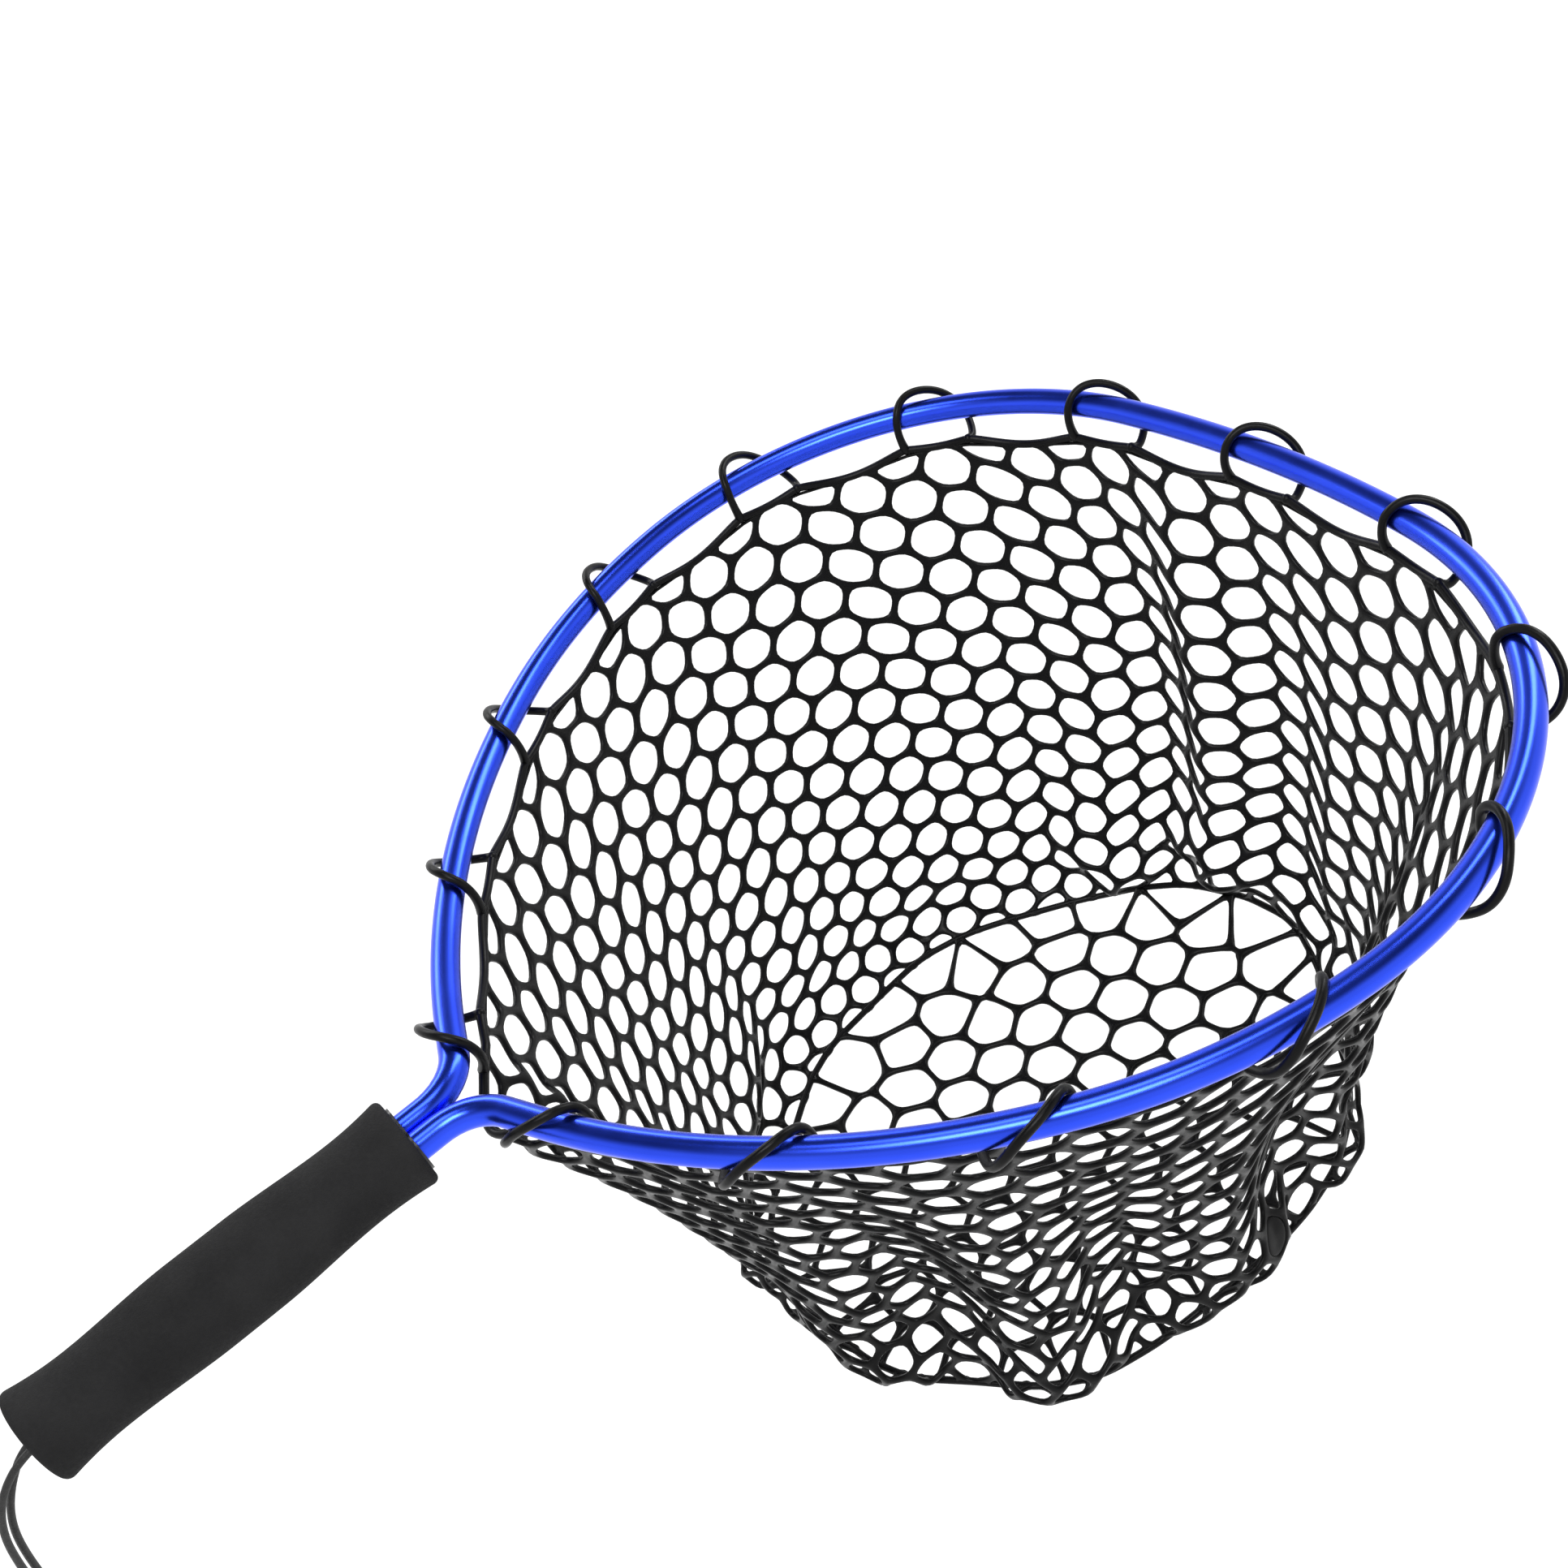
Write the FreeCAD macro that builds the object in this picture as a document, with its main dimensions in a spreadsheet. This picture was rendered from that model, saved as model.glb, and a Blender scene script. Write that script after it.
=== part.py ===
import FreeCAD
import Part
import math
import os
import sys

# Landing net with a foam handle, an aluminium hoop, a rubber mesh bag and a lanyard with a snap hook.
# Millimetres. +X runs from the handle to the tip of the hoop, +Z is up, and the origin is the middle
# of the handle, on the hoop's plane. The bag and the lanyard hang along -Z.

Vector = FreeCAD.Vector
os.makedirs("parts", exist_ok=True)
doc = FreeCAD.newDocument("landing_net")

# ---------------------------------------------------------------------------------------------------
# Driving dimensions
# ---------------------------------------------------------------------------------------------------
DIMENSIONS = {
    # foam handle: a barrel with two waists
    "grip_length": 135.0,
    "butt_radius": 16.6,
    "rear_waist_radius": 14.5,
    "belly_radius": 16.0,
    "front_waist_radius": 14.4,
    "front_radius": 16.1,
    "waist_inset": 21.0,
    "belly_half_length": 9.0,
    "grip_edge_round": 2.6,
    # hoop: one tube, both tails side by side in the handle
    "tube_diameter": 10.0,
    "tube_wall": 1.2,
    "tail_spacing": 10.5,
    "tail_end": -44.0,
    "tail_gap": 1.5,
    "neck_start": 76.0,
    "neck_radius": 20.5,
    "neck_angle": 67.0,
    "neck_straight": 12.0,
    "side_radius": 288.0,
    "side_angle": 34.0,
    "shoulder_radius": 202.0,
    "shoulder_angle": 25.5,
    "corner_radius": 140.0,
    "corner_angle": 89.5,
    "pin_diameter": 3.0,
    "pin_length": 19.8,
    "pin_place": -36.0,
    # plastic collar at the front of the handle
    "collar_width": 27.0,
    "collar_height": 16.0,
    "collar_depth": 7.0,
    "collar_proud": 0.8,
    # plug, knot and cord at the butt
    "plug_radius": 7.0,
    "plug_depth": 9.5,
    "plug_flange_radius": 8.5,
    "plug_flange": 1.5,
    "plug_hole_radius": 2.0,
    "knot_radius": 4.6,
    "knot_length": 9.0,
    "knot_round": 2.0,
    "cord_diameter": 2.4,
    "cord_spacing": 3.8,
    # rubber net
    "strand_diameter": 3.2,
    "rim_inset": 6.5,
    "rim_drop": 14.0,
    "rim_heel_radius": 30.0,
    "rim_gap": 0.3,
    "net_skin": 2.0,
    "floor_centre": 280.0,
    "floor_half_length": 137.0,
    "floor_half_width": 117.0,
    "floor_drop": 225.3,
    "floor_gap": 0.6,
    "loop_count": 15.0,
    "loop_first": 44.0,
    "plate_size": 8.0,
    "plate_thickness": 1.2,
    "plate_along": 286.0,
    "plate_reach": 129.9,
    "plate_drop": 190.0,
    "plate_lean": 17.8,
    # snap hook
    "hook_stock": 3.1,
    "hook_arch_radius": 5.6,
    "hook_lean": 19.0,
    "hook_spine": 27.0,
    "hook_corner_radius": 4.6,
    "hook_base_rise": 12.0,
    "hook_heel_radius": 7.0,
    "hook_hinge_drop": 17.5,
    "hook_nose_drop": 1.0,
    "hinge_reach": 2.4,
    "latch_drop": 2.6,
    "latch_gap": 0.1,
    "nose_reach": 1.3,
    "tongue": 1.3,
    "gate_diameter": 3.5,
    "gate_slot": 1.6,
    "gate_heel": 1.6,
    "gate_top_gap": 0.35,
    "hinge_slot_depth": 2.3,
    "nose_slot_depth": 2.0,
    "gate_bore_diameter": 2.0,
    "gate_bore_reach": 12.0,
    "plunger_gap": 0.1,
    "plunger_length": 2.4,
    "spring_wire": 0.3,
    "spring_pitch": 1.1,
    "hinge_pin_diameter": 1.3,
    "latch_pin_diameter": 1.0,
    "pin_shortfall": 0.3,
    "running_gap": 0.05,
    "cord_gap": 0.52,
}

sheet = doc.addObject("Spreadsheet::Sheet", "Sizes")
for row, (alias, value) in enumerate(DIMENSIONS.items(), start=1):
    sheet.set(f"A{row}", alias)
    sheet.set(f"B{row}", str(value))
    sheet.setAlias(f"B{row}", alias)
doc.recompute()


def size(alias):
    return float(sheet.get(alias))


nodes = []


def node(shape_object, name):
    """Registers an object as one sub-part. Its label is the file's name."""
    shape_object.Label = name
    nodes.append(shape_object)
    return shape_object


def bind(target, **cells):
    for name, expression in cells.items():
        target.setExpression(name.replace("__", "."), expression)
    return target


def primitive(kind, name, place=None, turn=None, **cells):
    """A Part primitive whose sizes are bound to the sheet, placed and turned as given."""
    made = doc.addObject(f"Part::{kind}", name)
    bind(made, **cells)
    made.Placement = FreeCAD.Placement(place or Vector(), turn or FreeCAD.Rotation())
    return made


def cut(name, base, tool):
    made = doc.addObject("Part::Cut", name)
    made.Base, made.Tool = base, tool
    return made


def fuse(name, pieces):
    made = doc.addObject("Part::MultiFuse", name)
    made.Shapes = pieces
    return made


def feature(name, shape):
    made = doc.addObject("Part::Feature", name)
    made.Shape = shape
    return made


END_FLARE = 0.14
ALONG_X = FreeCAD.Rotation(Vector(0, 1, 0), 90)
ALONG_Y = FreeCAD.Rotation(Vector(1, 0, 0), -90)

# ---------------------------------------------------------------------------------------------------
# Paths of straight runs and tangent arcs
# ---------------------------------------------------------------------------------------------------
CORNER_SHARE = 0.45


def rounded_wire(points, report=None):
    """Straight runs between the points, with each corner rounded as far as its shorter run allows."""
    edges = []
    start = points[0]
    for before, corner, after in zip(points, points[1:], points[2:]):
        back = (before - corner).normalize()
        ahead = (after - corner).normalize()
        turn = math.pi - back.getAngle(ahead)
        reach = CORNER_SHARE * min((before - corner).Length, (after - corner).Length)
        radius = reach / math.tan(turn / 2)
        arc_start = corner + back * reach
        arc_end = corner + ahead * reach
        inward = (back + ahead).normalize()
        middle = corner + inward * (math.hypot(radius, reach) - radius)
        edges.append(Part.LineSegment(start, arc_start).toShape())
        edges.append(Part.Arc(arc_start, middle, arc_end).toShape())
        start = arc_end
        if report is not None:
            report.append(radius)
    edges.append(Part.LineSegment(start, points[-1]).toShape())
    return Part.Wire(edges)


def swept_round(path, diameter):
    """A solid round rod along a path."""
    first = path.OrderedEdges[0]
    begin = first.valueAt(first.FirstParameter)
    heading = first.tangentAt(first.FirstParameter)
    ring = Part.Wire(Part.makeCircle(diameter / 2, begin, heading))
    rod = path.makePipeShell([ring], True, False)
    return rod


class Pen:
    """Draws a flat outline of runs and arcs in the XY plane, heading along +X to begin with."""

    def __init__(self, place, heading=0.0):
        self.place = place
        self.heading = heading
        self.edges = []

    def ahead(self):
        return Vector(math.cos(self.heading), math.sin(self.heading), 0)

    def left(self):
        return Vector(-math.sin(self.heading), math.cos(self.heading), 0)

    def run(self, length):
        end = self.place + self.ahead() * length
        self.edges.append(Part.LineSegment(self.place, end).toShape())
        self.place = end

    def arc(self, radius, degrees):
        """Turns left by a positive angle and right by a negative one."""
        side = 1 if degrees > 0 else -1
        turn = math.radians(degrees)
        centre = self.place + self.left() * radius * side
        spots = [self.place]
        start_heading = self.heading
        for share in (0.5, 1.0):
            self.heading = start_heading + turn * share
            spots.append(centre - self.left() * radius * side)
        self.edges.append(Part.Arc(*spots).toShape())
        self.place = spots[-1]


def mirrored(edges):
    """The same edges on the other side of the XZ plane, in reverse order."""
    across = [edge.mirror(Vector(), Vector(0, 1, 0)) for edge in edges]
    return across[::-1]


# ---------------------------------------------------------------------------------------------------
# Hoop
# ---------------------------------------------------------------------------------------------------
def hoop_half(inset=0.0, heel=None):
    """Half of the hoop's line, from its start to the tip, moved inwards by the inset.
    With a heel radius the line starts on the axis, behind the neck, instead of at the tail's end."""
    neck_angle = math.radians(size("neck_angle"))
    neck_end = Vector(
        size("neck_start") + size("neck_radius") * math.sin(neck_angle),
        size("tail_spacing") / 2 + size("neck_radius") * (1 - math.cos(neck_angle)),
        0,
    )
    if heel is None:
        pen = Pen(Vector(size("tail_end"), size("tail_spacing") / 2, 0))
        pen.run(size("neck_start") - size("tail_end"))
        pen.arc(size("neck_radius"), size("neck_angle"))
        pen.run(size("neck_straight"))
    else:
        inward = Vector(math.sin(neck_angle), -math.cos(neck_angle), 0)
        line_end = neck_end + inward * inset
        line_end += Vector(math.cos(neck_angle), math.sin(neck_angle), 0) * size("neck_straight")
        heel_start = line_end.x - line_end.y / math.tan(neck_angle)
        heel_reach = heel / math.sin(neck_angle) - heel
        pen = Pen(Vector(heel_start + heel_reach, 0, 0), math.pi / 2)
        pen.arc(heel, size("neck_angle") - 90)
        pen.run((line_end - pen.place).Length)
    pen.arc(size("side_radius") - inset, -size("side_angle"))
    pen.arc(size("shoulder_radius") - inset, -size("shoulder_angle"))
    pen.arc(size("corner_radius") - inset, -size("corner_angle"))
    tip_radius = pen.place.y / math.cos(pen.heading)
    pen.arc(tip_radius, -90 - math.degrees(pen.heading))
    return pen.edges


def hoop_tube():
    half = hoop_half()
    path = feature("hoop_path", Part.Wire(half + mirrored(half)))
    spine = (path, [f"Edge{i + 1}" for i in range(len(path.Shape.Edges))])
    start = Vector(size("tail_end"), size("tail_spacing") / 2, 0)
    skins = []
    outer = "Sizes.tube_diameter / 2"
    for skin, radius in (("outer", outer), ("inner", f"{outer} - Sizes.tube_wall")):
        ring = primitive("Circle", f"{skin}_ring", start, ALONG_X, Radius=radius)
        sweep = doc.addObject("Part::Sweep", f"{skin}_sweep")
        sweep.Sections, sweep.Spine, sweep.Solid = [ring], spine, True
        skins.append(sweep)
    hollow = cut("hollow_tube", *skins)
    pin_hole = primitive(
        "Cylinder",
        "pin_hole",
        Vector(size("pin_place"), -size("tail_spacing") * 2, 0),
        ALONG_Y,
        Radius="Sizes.pin_diameter / 2",
        Height="Sizes.tail_spacing * 4",
    )
    return node(cut("hoop", hollow, pin_hole), "hoop_tube")


def tail_pin():
    """The cross pin that holds the two tails together inside the handle."""
    place = Vector(size("pin_place"), -size("pin_length") / 2, 0)
    pin = primitive(
        "Cylinder", "pin", place, ALONG_Y, Radius="Sizes.pin_diameter / 2", Height="Sizes.pin_length"
    )
    return node(pin, "tail_pin")


# ---------------------------------------------------------------------------------------------------
# Handle, collar and plug
# ---------------------------------------------------------------------------------------------------
def slot_solid(name, place, width, height, depth):
    """A stadium-section bar along +X, round ends in Y: sizes are expressions."""
    straight = f"({width}) - ({height})"
    middle = primitive("Box", f"{name}_middle", Length=depth, Width=straight, Height=height)
    bind(
        middle,
        Placement__Base__x=place,
        Placement__Base__y=f"-(({width}) - ({height})) / 2",
        Placement__Base__z=f"-({height}) / 2",
    )
    pieces = [middle]
    for side, sign in (("left", 1), ("right", -1)):
        end = primitive("Cylinder", f"{name}_{side}", None, ALONG_X, Radius=f"({height}) / 2", Height=depth)
        bind(end, Placement__Base__x=place, Placement__Base__y=f"{sign} * (({width}) - ({height})) / 2")
        pieces.append(end)
    return fuse(name, pieces)


def grip_profile():
    """The upper half of the handle's long section: level at both waists and along the belly."""
    half = size("grip_length") / 2
    waist, belly = half - size("waist_inset"), size("belly_half_length")
    spots = [
        Vector(-half, 0, size("butt_radius")),
        Vector(-waist, 0, size("rear_waist_radius")),
        Vector(-belly, 0, size("belly_radius")),
        Vector(belly, 0, size("belly_radius")),
        Vector(waist, 0, size("front_waist_radius")),
        Vector(half, 0, size("front_radius")),
    ]
    level = Vector(1, 0, 0)
    tangents = [Vector(1, 0, -END_FLARE)] + [level] * 4 + [Vector(1, 0, END_FLARE)]
    skin = Part.BSplineCurve()
    skin.interpolate(Points=spots, Tangents=tangents, TangentFlags=[True] * len(spots))
    butt, front = Vector(-half, 0, 0), Vector(half, 0, 0)
    return Part.Wire(
        [
            Part.makeLine(butt, spots[0]),
            skin.toShape(),
            Part.makeLine(spots[-1], front),
            Part.makeLine(front, butt),
        ]
    )


def foam_grip():
    """The foam barrel, with its ends rounded and its bores cut."""
    profile = feature("grip_profile", grip_profile())
    barrel = doc.addObject("Part::Revolution", "barrel")
    barrel.Source, barrel.Axis, barrel.Angle, barrel.Solid = profile, Vector(1, 0, 0), 360, True
    doc.recompute()
    half, round_off = size("grip_length") / 2, size("grip_edge_round")
    rims = []
    for number, edge in enumerate(barrel.Shape.Edges, start=1):
        if edge.BoundBox.XLength < 1e-6 and edge.isClosed():
            rims.append((number, round_off, round_off))
    rounded = doc.addObject("Part::Fillet", "rounded_barrel")
    rounded.Base, rounded.Edges = barrel, rims
    back = "-Sizes.grip_length / 2"
    tails = slot_solid(
        "tail_bore",
        "Sizes.tail_end - Sizes.tail_gap",
        "Sizes.tail_spacing + Sizes.tube_diameter",
        "Sizes.tube_diameter",
        "Sizes.grip_length / 2 - Sizes.tail_end + Sizes.tail_gap",
    )
    seat = slot_solid(
        "collar_seat",
        "Sizes.grip_length / 2 - Sizes.collar_depth",
        "Sizes.collar_width",
        "Sizes.collar_height",
        "Sizes.collar_depth",
    )
    flange_seat = primitive(
        "Cylinder",
        "flange_seat",
        None,
        ALONG_X,
        Radius="Sizes.plug_flange_radius",
        Height="Sizes.plug_flange",
    )
    plug_bore = primitive(
        "Cylinder",
        "plug_bore",
        None,
        ALONG_X,
        Radius="Sizes.plug_radius",
        Height="Sizes.grip_length / 2 + Sizes.tail_end - Sizes.tail_gap",
    )
    for piece in (flange_seat, plug_bore):
        bind(piece, Placement__Base__x=back)
    bores = fuse("grip_bores", [tails, seat, flange_seat, plug_bore])
    return node(cut("grip", rounded, bores), "foam_grip")


def front_collar():
    """The oval plastic collar that the two tails pass through."""
    start = "Sizes.grip_length / 2 - Sizes.collar_depth"
    depth = "Sizes.collar_depth + Sizes.collar_proud"
    block = slot_solid("collar_block", start, "Sizes.collar_width", "Sizes.collar_height", depth)
    holes = slot_solid(
        "collar_hole", start, "Sizes.tail_spacing + Sizes.tube_diameter", "Sizes.tube_diameter", depth
    )
    return node(cut("collar", block, holes), "front_collar")


def butt_plug():
    """The flanged plug in the butt, with the slot that the cord's two ends come out of."""
    back = "-Sizes.grip_length / 2"
    flange = primitive(
        "Cylinder",
        "plug_flange",
        None,
        ALONG_X,
        Radius="Sizes.plug_flange_radius",
        Height="Sizes.plug_flange",
    )
    shank = primitive(
        "Cylinder", "plug_shank", None, ALONG_X, Radius="Sizes.plug_radius", Height="Sizes.plug_depth"
    )
    for piece in (flange, shank):
        bind(piece, Placement__Base__x=back)
    solid = fuse("plug_solid", [flange, shank])
    hole = slot_solid(
        "plug_hole",
        back,
        "Sizes.cord_spacing + 2 * Sizes.plug_hole_radius",
        "2 * Sizes.plug_hole_radius",
        "Sizes.plug_depth",
    )
    return node(cut("plug", solid, hole), "butt_plug")


def lanyard_knot():
    """The stopper knot behind the plug, as a rounded lump."""
    lump = primitive(
        "Cylinder", "knot_lump", None, ALONG_X, Radius="Sizes.knot_radius", Height="Sizes.knot_length"
    )
    bind(lump, Placement__Base__x="-Sizes.grip_length / 2 + Sizes.plug_depth")
    doc.recompute()
    softened = doc.addObject("Part::Fillet", "knot")
    softened.Base = lump
    end_edges = (1, 3)
    softened.Edges = [(number, size("knot_round"), size("knot_round")) for number in end_edges]
    return node(softened, "lanyard_knot")


# ---------------------------------------------------------------------------------------------------
# Lanyard cord: out of the plug, down, through the snap hook and back up beside itself
# ---------------------------------------------------------------------------------------------------
CORD_ROUTE = [
    (-58.0, -1.9, 0.0),
    (-72.0, -2.0, -0.6),
    (-84.2, -2.1, -7.6),
    (-92.5, -2.2, -19.5),
    (-97.5, -2.3, -36.0),
    (-101.5, -2.4, -58.0),
    (-105.0, -2.4, -87.0),
    (-108.4, -2.3, -124.0),
    (-111.6, -2.2, -164.0),
    (-115.8, -2.2, -202.0),
    (-120.0, -2.4, -233.0),
    (-120.4, -2.8, -260.0),
    (-122.6, -3.4, -283.0),
    (-122.6, -4.4, -302.0),
    (-120.6, -5.6, -316.5),
    (-117.0, -6.3, -326.5),
    (-112.9, -3.5, -333.1),
    (-106.1, 3.5, -333.1),
    (-100.6, 6.4, -328.2),
    (-96.2, 6.4, -318.6),
    (-94.6, 5.4, -304.0),
    (-96.6, 4.2, -281.0),
    (-101.2, 3.2, -248.0),
    (-104.9, 2.8, -212.0),
    (-106.8, 2.5, -172.0),
    (-105.8, 2.3, -131.0),
    (-103.2, 2.1, -94.0),
    (-99.9, 1.9, -63.0),
    (-96.0, 1.8, -41.0),
    (-91.0, 1.8, -24.0),
    (-82.7, 1.9, -11.6),
    (-70.8, 2.0, -1.2),
    (-58.0, 1.9, 0.0),
]


def lanyard_cord():
    radii = []
    path = rounded_wire([Vector(*point) for point in CORD_ROUTE], radii)
    cord = swept_round(path, size("cord_diameter"))
    expected = math.pi * (size("cord_diameter") / 2) ** 2 * path.Length
    print("cord length", round(path.Length, 1), "radii", [round(radius, 1) for radius in radii])
    print("cord volume over section times length", round(cord.Volume / expected, 4))
    return node(feature("cord", cord), "lanyard_cord")


# ---------------------------------------------------------------------------------------------------
# Rubber net
# ---------------------------------------------------------------------------------------------------
def rim_edges():
    half = hoop_half(size("rim_inset"), size("rim_heel_radius"))
    return half + mirrored(half)


def net_rim():
    """The strand along the top of the mesh, inside the hoop and below it."""
    half = hoop_half(size("rim_inset"), size("rim_heel_radius"))
    drop = Vector(0, 0, -size("rim_drop"))
    sides = []
    for edges in (half, mirrored(half)):
        path = Part.Wire(edges)
        path.translate(drop)
        sides.append(swept_round(path, size("strand_diameter")))
    return node(feature("rim", sides[0].fuse(sides[1]).removeSplitter()), "net_rim")


def polar_outline(edges, count):
    """Points of a closed outline in even directions as seen from above the middle of the net's floor."""
    spots = []
    for edge in edges:
        spots += edge.discretize(Number=120)
    centre = Vector(size("floor_centre"), 0, 0)

    def bearing(spot):
        return math.atan2(spot.y - centre.y, spot.x - centre.x) % (2 * math.pi)

    chosen = []
    for k in range(count):
        wanted = 2 * math.pi * k / count
        chosen.append(min(spots, key=lambda spot: abs(bearing(spot) - wanted)))
    return chosen


def closed_curve(points, height, outward):
    """A smooth closed curve at a height, moved outwards from the floor's middle."""
    centre = Vector(size("floor_centre"), 0, 0)
    placed = []
    for point in points:
        away = (point - centre).normalize()
        moved = point + away * outward
        placed.append(Vector(moved.x, moved.y, height))
    curve = Part.BSplineCurve()
    curve.interpolate(placed, PeriodicFlag=True)
    return Part.Wire(curve.toShape())


OUTLINE_POINTS = 48


def net_wall():
    """The side of the bag, a thin tapered skin from the rim down to the floor, open at both ends."""
    top_points = polar_outline(rim_edges(), OUTLINE_POINTS)
    bottom_points = []
    for k in range(OUTLINE_POINTS):
        bearing = 2 * math.pi * k / OUTLINE_POINTS
        aim = Vector(math.cos(bearing), math.sin(bearing), 0)
        reach = 1 / math.hypot(aim.x / size("floor_half_length"), aim.y / size("floor_half_width"))
        bottom_points.append(Vector(size("floor_centre"), 0, 0) + aim * reach)
    top = -size("rim_drop") - size("strand_diameter") / 2 - size("rim_gap")
    bottom = -size("floor_drop")
    skins = []
    for outward in (size("net_skin") / 2, -size("net_skin") / 2):
        rings = [closed_curve(top_points, top, outward), closed_curve(bottom_points, bottom, outward)]
        skins.append(Part.makeLoft(rings, True, True))
    return node(feature("wall", skins[0].cut(skins[1])), "net_wall")


def net_floor():
    """The bottom of the bag, just inside the lower edge of its side."""
    outline = doc.addObject("Part::Ellipse", "floor_outline")
    bind(
        outline,
        MajorRadius="Sizes.floor_half_length - Sizes.net_skin / 2 - Sizes.floor_gap",
        MinorRadius="Sizes.floor_half_width - Sizes.net_skin / 2 - Sizes.floor_gap",
        Placement__Base__x="Sizes.floor_centre",
        Placement__Base__z="-Sizes.floor_drop",
    )
    slab = doc.addObject("Part::Extrusion", "floor_slab")
    slab.Base, slab.DirMode, slab.Dir, slab.Solid = outline, "Custom", Vector(0, 0, 1), True
    slab.setExpression("LengthFwd", "Sizes.net_skin")
    return node(slab, "net_floor")


def net_plate():
    """The one filled cell of the mesh, a six-sided plate low on the outside of the bag."""
    side = doc.addObject("Part::RegularPolygon", "plate_outline")
    side.Polygon = 6
    bind(side, Circumradius="Sizes.plate_size")
    plate = doc.addObject("Part::Extrusion", "plate")
    plate.Base, plate.DirMode, plate.Dir, plate.Solid = side, "Custom", Vector(0, 0, 1), True
    plate.setExpression("LengthFwd", "Sizes.plate_thickness")
    lean = FreeCAD.Rotation(Vector(1, 0, 0), 90 + size("plate_lean"))
    place = Vector(size("plate_along"), -size("plate_reach"), -size("plate_drop"))
    side.Placement = FreeCAD.Placement(place, lean)
    plate.Dir = lean.multVec(Vector(0, 0, 1))
    return node(plate, "net_plate")


# One loop's line round the tube, as (along the hoop, outwards from the tube's line, up) from the tube's
# centre: up from the rim strand on the inside, over the tube, down outside it and back underneath.
LOOP_LINE = [
    (-12.7, -6.4, -12.0),
    (-12.8, -8.6, -5.0),
    (-12.4, -6.9, 4.0),
    (-10.6, -0.8, 8.4),
    (-6.0, 5.2, 8.0),
    (0.5, 8.8, 4.4),
    (6.0, 9.8, -1.5),
    (10.2, 6.8, -7.4),
    (12.4, 0.6, -10.6),
    (13.3, -4.2, -12.6),
]


def net_loops():
    """The loops that hang the net on the hoop, evenly spaced along it."""
    half = hoop_half()[1:]
    line = Part.Wire(half + mirrored(half))
    count = int(size("loop_count"))
    first = size("loop_first") - (size("neck_start") - size("grip_length") / 2)
    pitch = (line.Length - 2 * first) / (count - 1)
    stations = []
    for k in range(count):
        stations.append(first + pitch * k)
    made = []
    for number, along in enumerate(stations, start=1):
        place, ahead = point_on(line, along)
        outwards = Vector(-ahead.y, ahead.x, 0)
        points = [
            place + ahead * step + outwards * out + Vector(0, 0, up)
            for step, out, up in LOOP_LINE
        ]
        loop = swept_round(rounded_wire(points), size("strand_diameter"))
        made.append(node(feature(f"loop_{number}", loop), f"net_loop_{number:02d}"))
    return made


def point_on(wire, along):
    """The point and the heading at a distance along a wire whose edges run in order from +Y to -Y."""
    left = along
    for edge in wire.OrderedEdges:
        if left <= edge.Length:
            break
        left -= edge.Length
    at = edge.getParameterByLength(left if edge.Orientation == "Forward" else edge.Length - left)
    ahead = edge.tangentAt(at)
    if edge.Orientation != "Forward":
        ahead = ahead * -1
    return edge.valueAt(at), ahead


# ---------------------------------------------------------------------------------------------------
# Snap hook: drawn flat in X and Z round the middle of its arch, where the cord passes through
# ---------------------------------------------------------------------------------------------------
CORD_CROSSING = Vector(-109.5, 0, -333.1)


def hook_middle():
    """The middle of the arch: the cord lies in the top of the arch, a small gap from the stock."""
    inner_radius = size("hook_arch_radius") - size("hook_stock") / 2
    reach = inner_radius - size("cord_diameter") / 2 - size("cord_gap")
    return CORD_CROSSING - Vector(0, 0, reach)


def hook_placement():
    """Stands what is drawn in XY up in XZ, with the middle of the arch at its place on the cord."""
    return FreeCAD.Placement(hook_middle(), FreeCAD.Rotation(Vector(1, 0, 0), 90))


def hook_node(made, name):
    made.Placement = hook_placement().multiply(made.Placement)
    return node(made, name)


def hook_line():
    """From the nose over the arch, down the spine, round the base and up to the hinge."""
    arch, heel = size("hook_arch_radius"), size("hook_heel_radius")
    rise = math.radians(size("hook_base_rise"))
    pen = Pen(Vector(arch, -size("hook_nose_drop"), 0), math.pi / 2)
    pen.run(size("hook_nose_drop"))
    pen.arc(arch, 180 - size("hook_lean"))
    pen.run(size("hook_spine"))
    pen.arc(size("hook_corner_radius"), 90 + size("hook_lean") + size("hook_base_rise"))
    pen.run((arch - heel * (1 - math.sin(rise)) - pen.place.x) / math.cos(rise))
    pen.arc(heel, 90 - size("hook_base_rise"))
    pen.run(-size("hook_hinge_drop") - size("hinge_reach") - pen.place.y)
    return pen.edges


def box_between(name, low, high):
    made = doc.addObject("Part::Box", name)
    made.Length, made.Width, made.Height = high.x - low.x, high.y - low.y, high.z - low.z
    made.Placement.Base = low
    return made


def cross_pin(name, drop, radius, length):
    """A round bar across the gate, at a distance below the middle of the arch."""
    place = Vector(size("hook_arch_radius"), -drop, -length / 2)
    return primitive("Cylinder", name, place, None, Radius=radius, Height=str(length))


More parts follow.
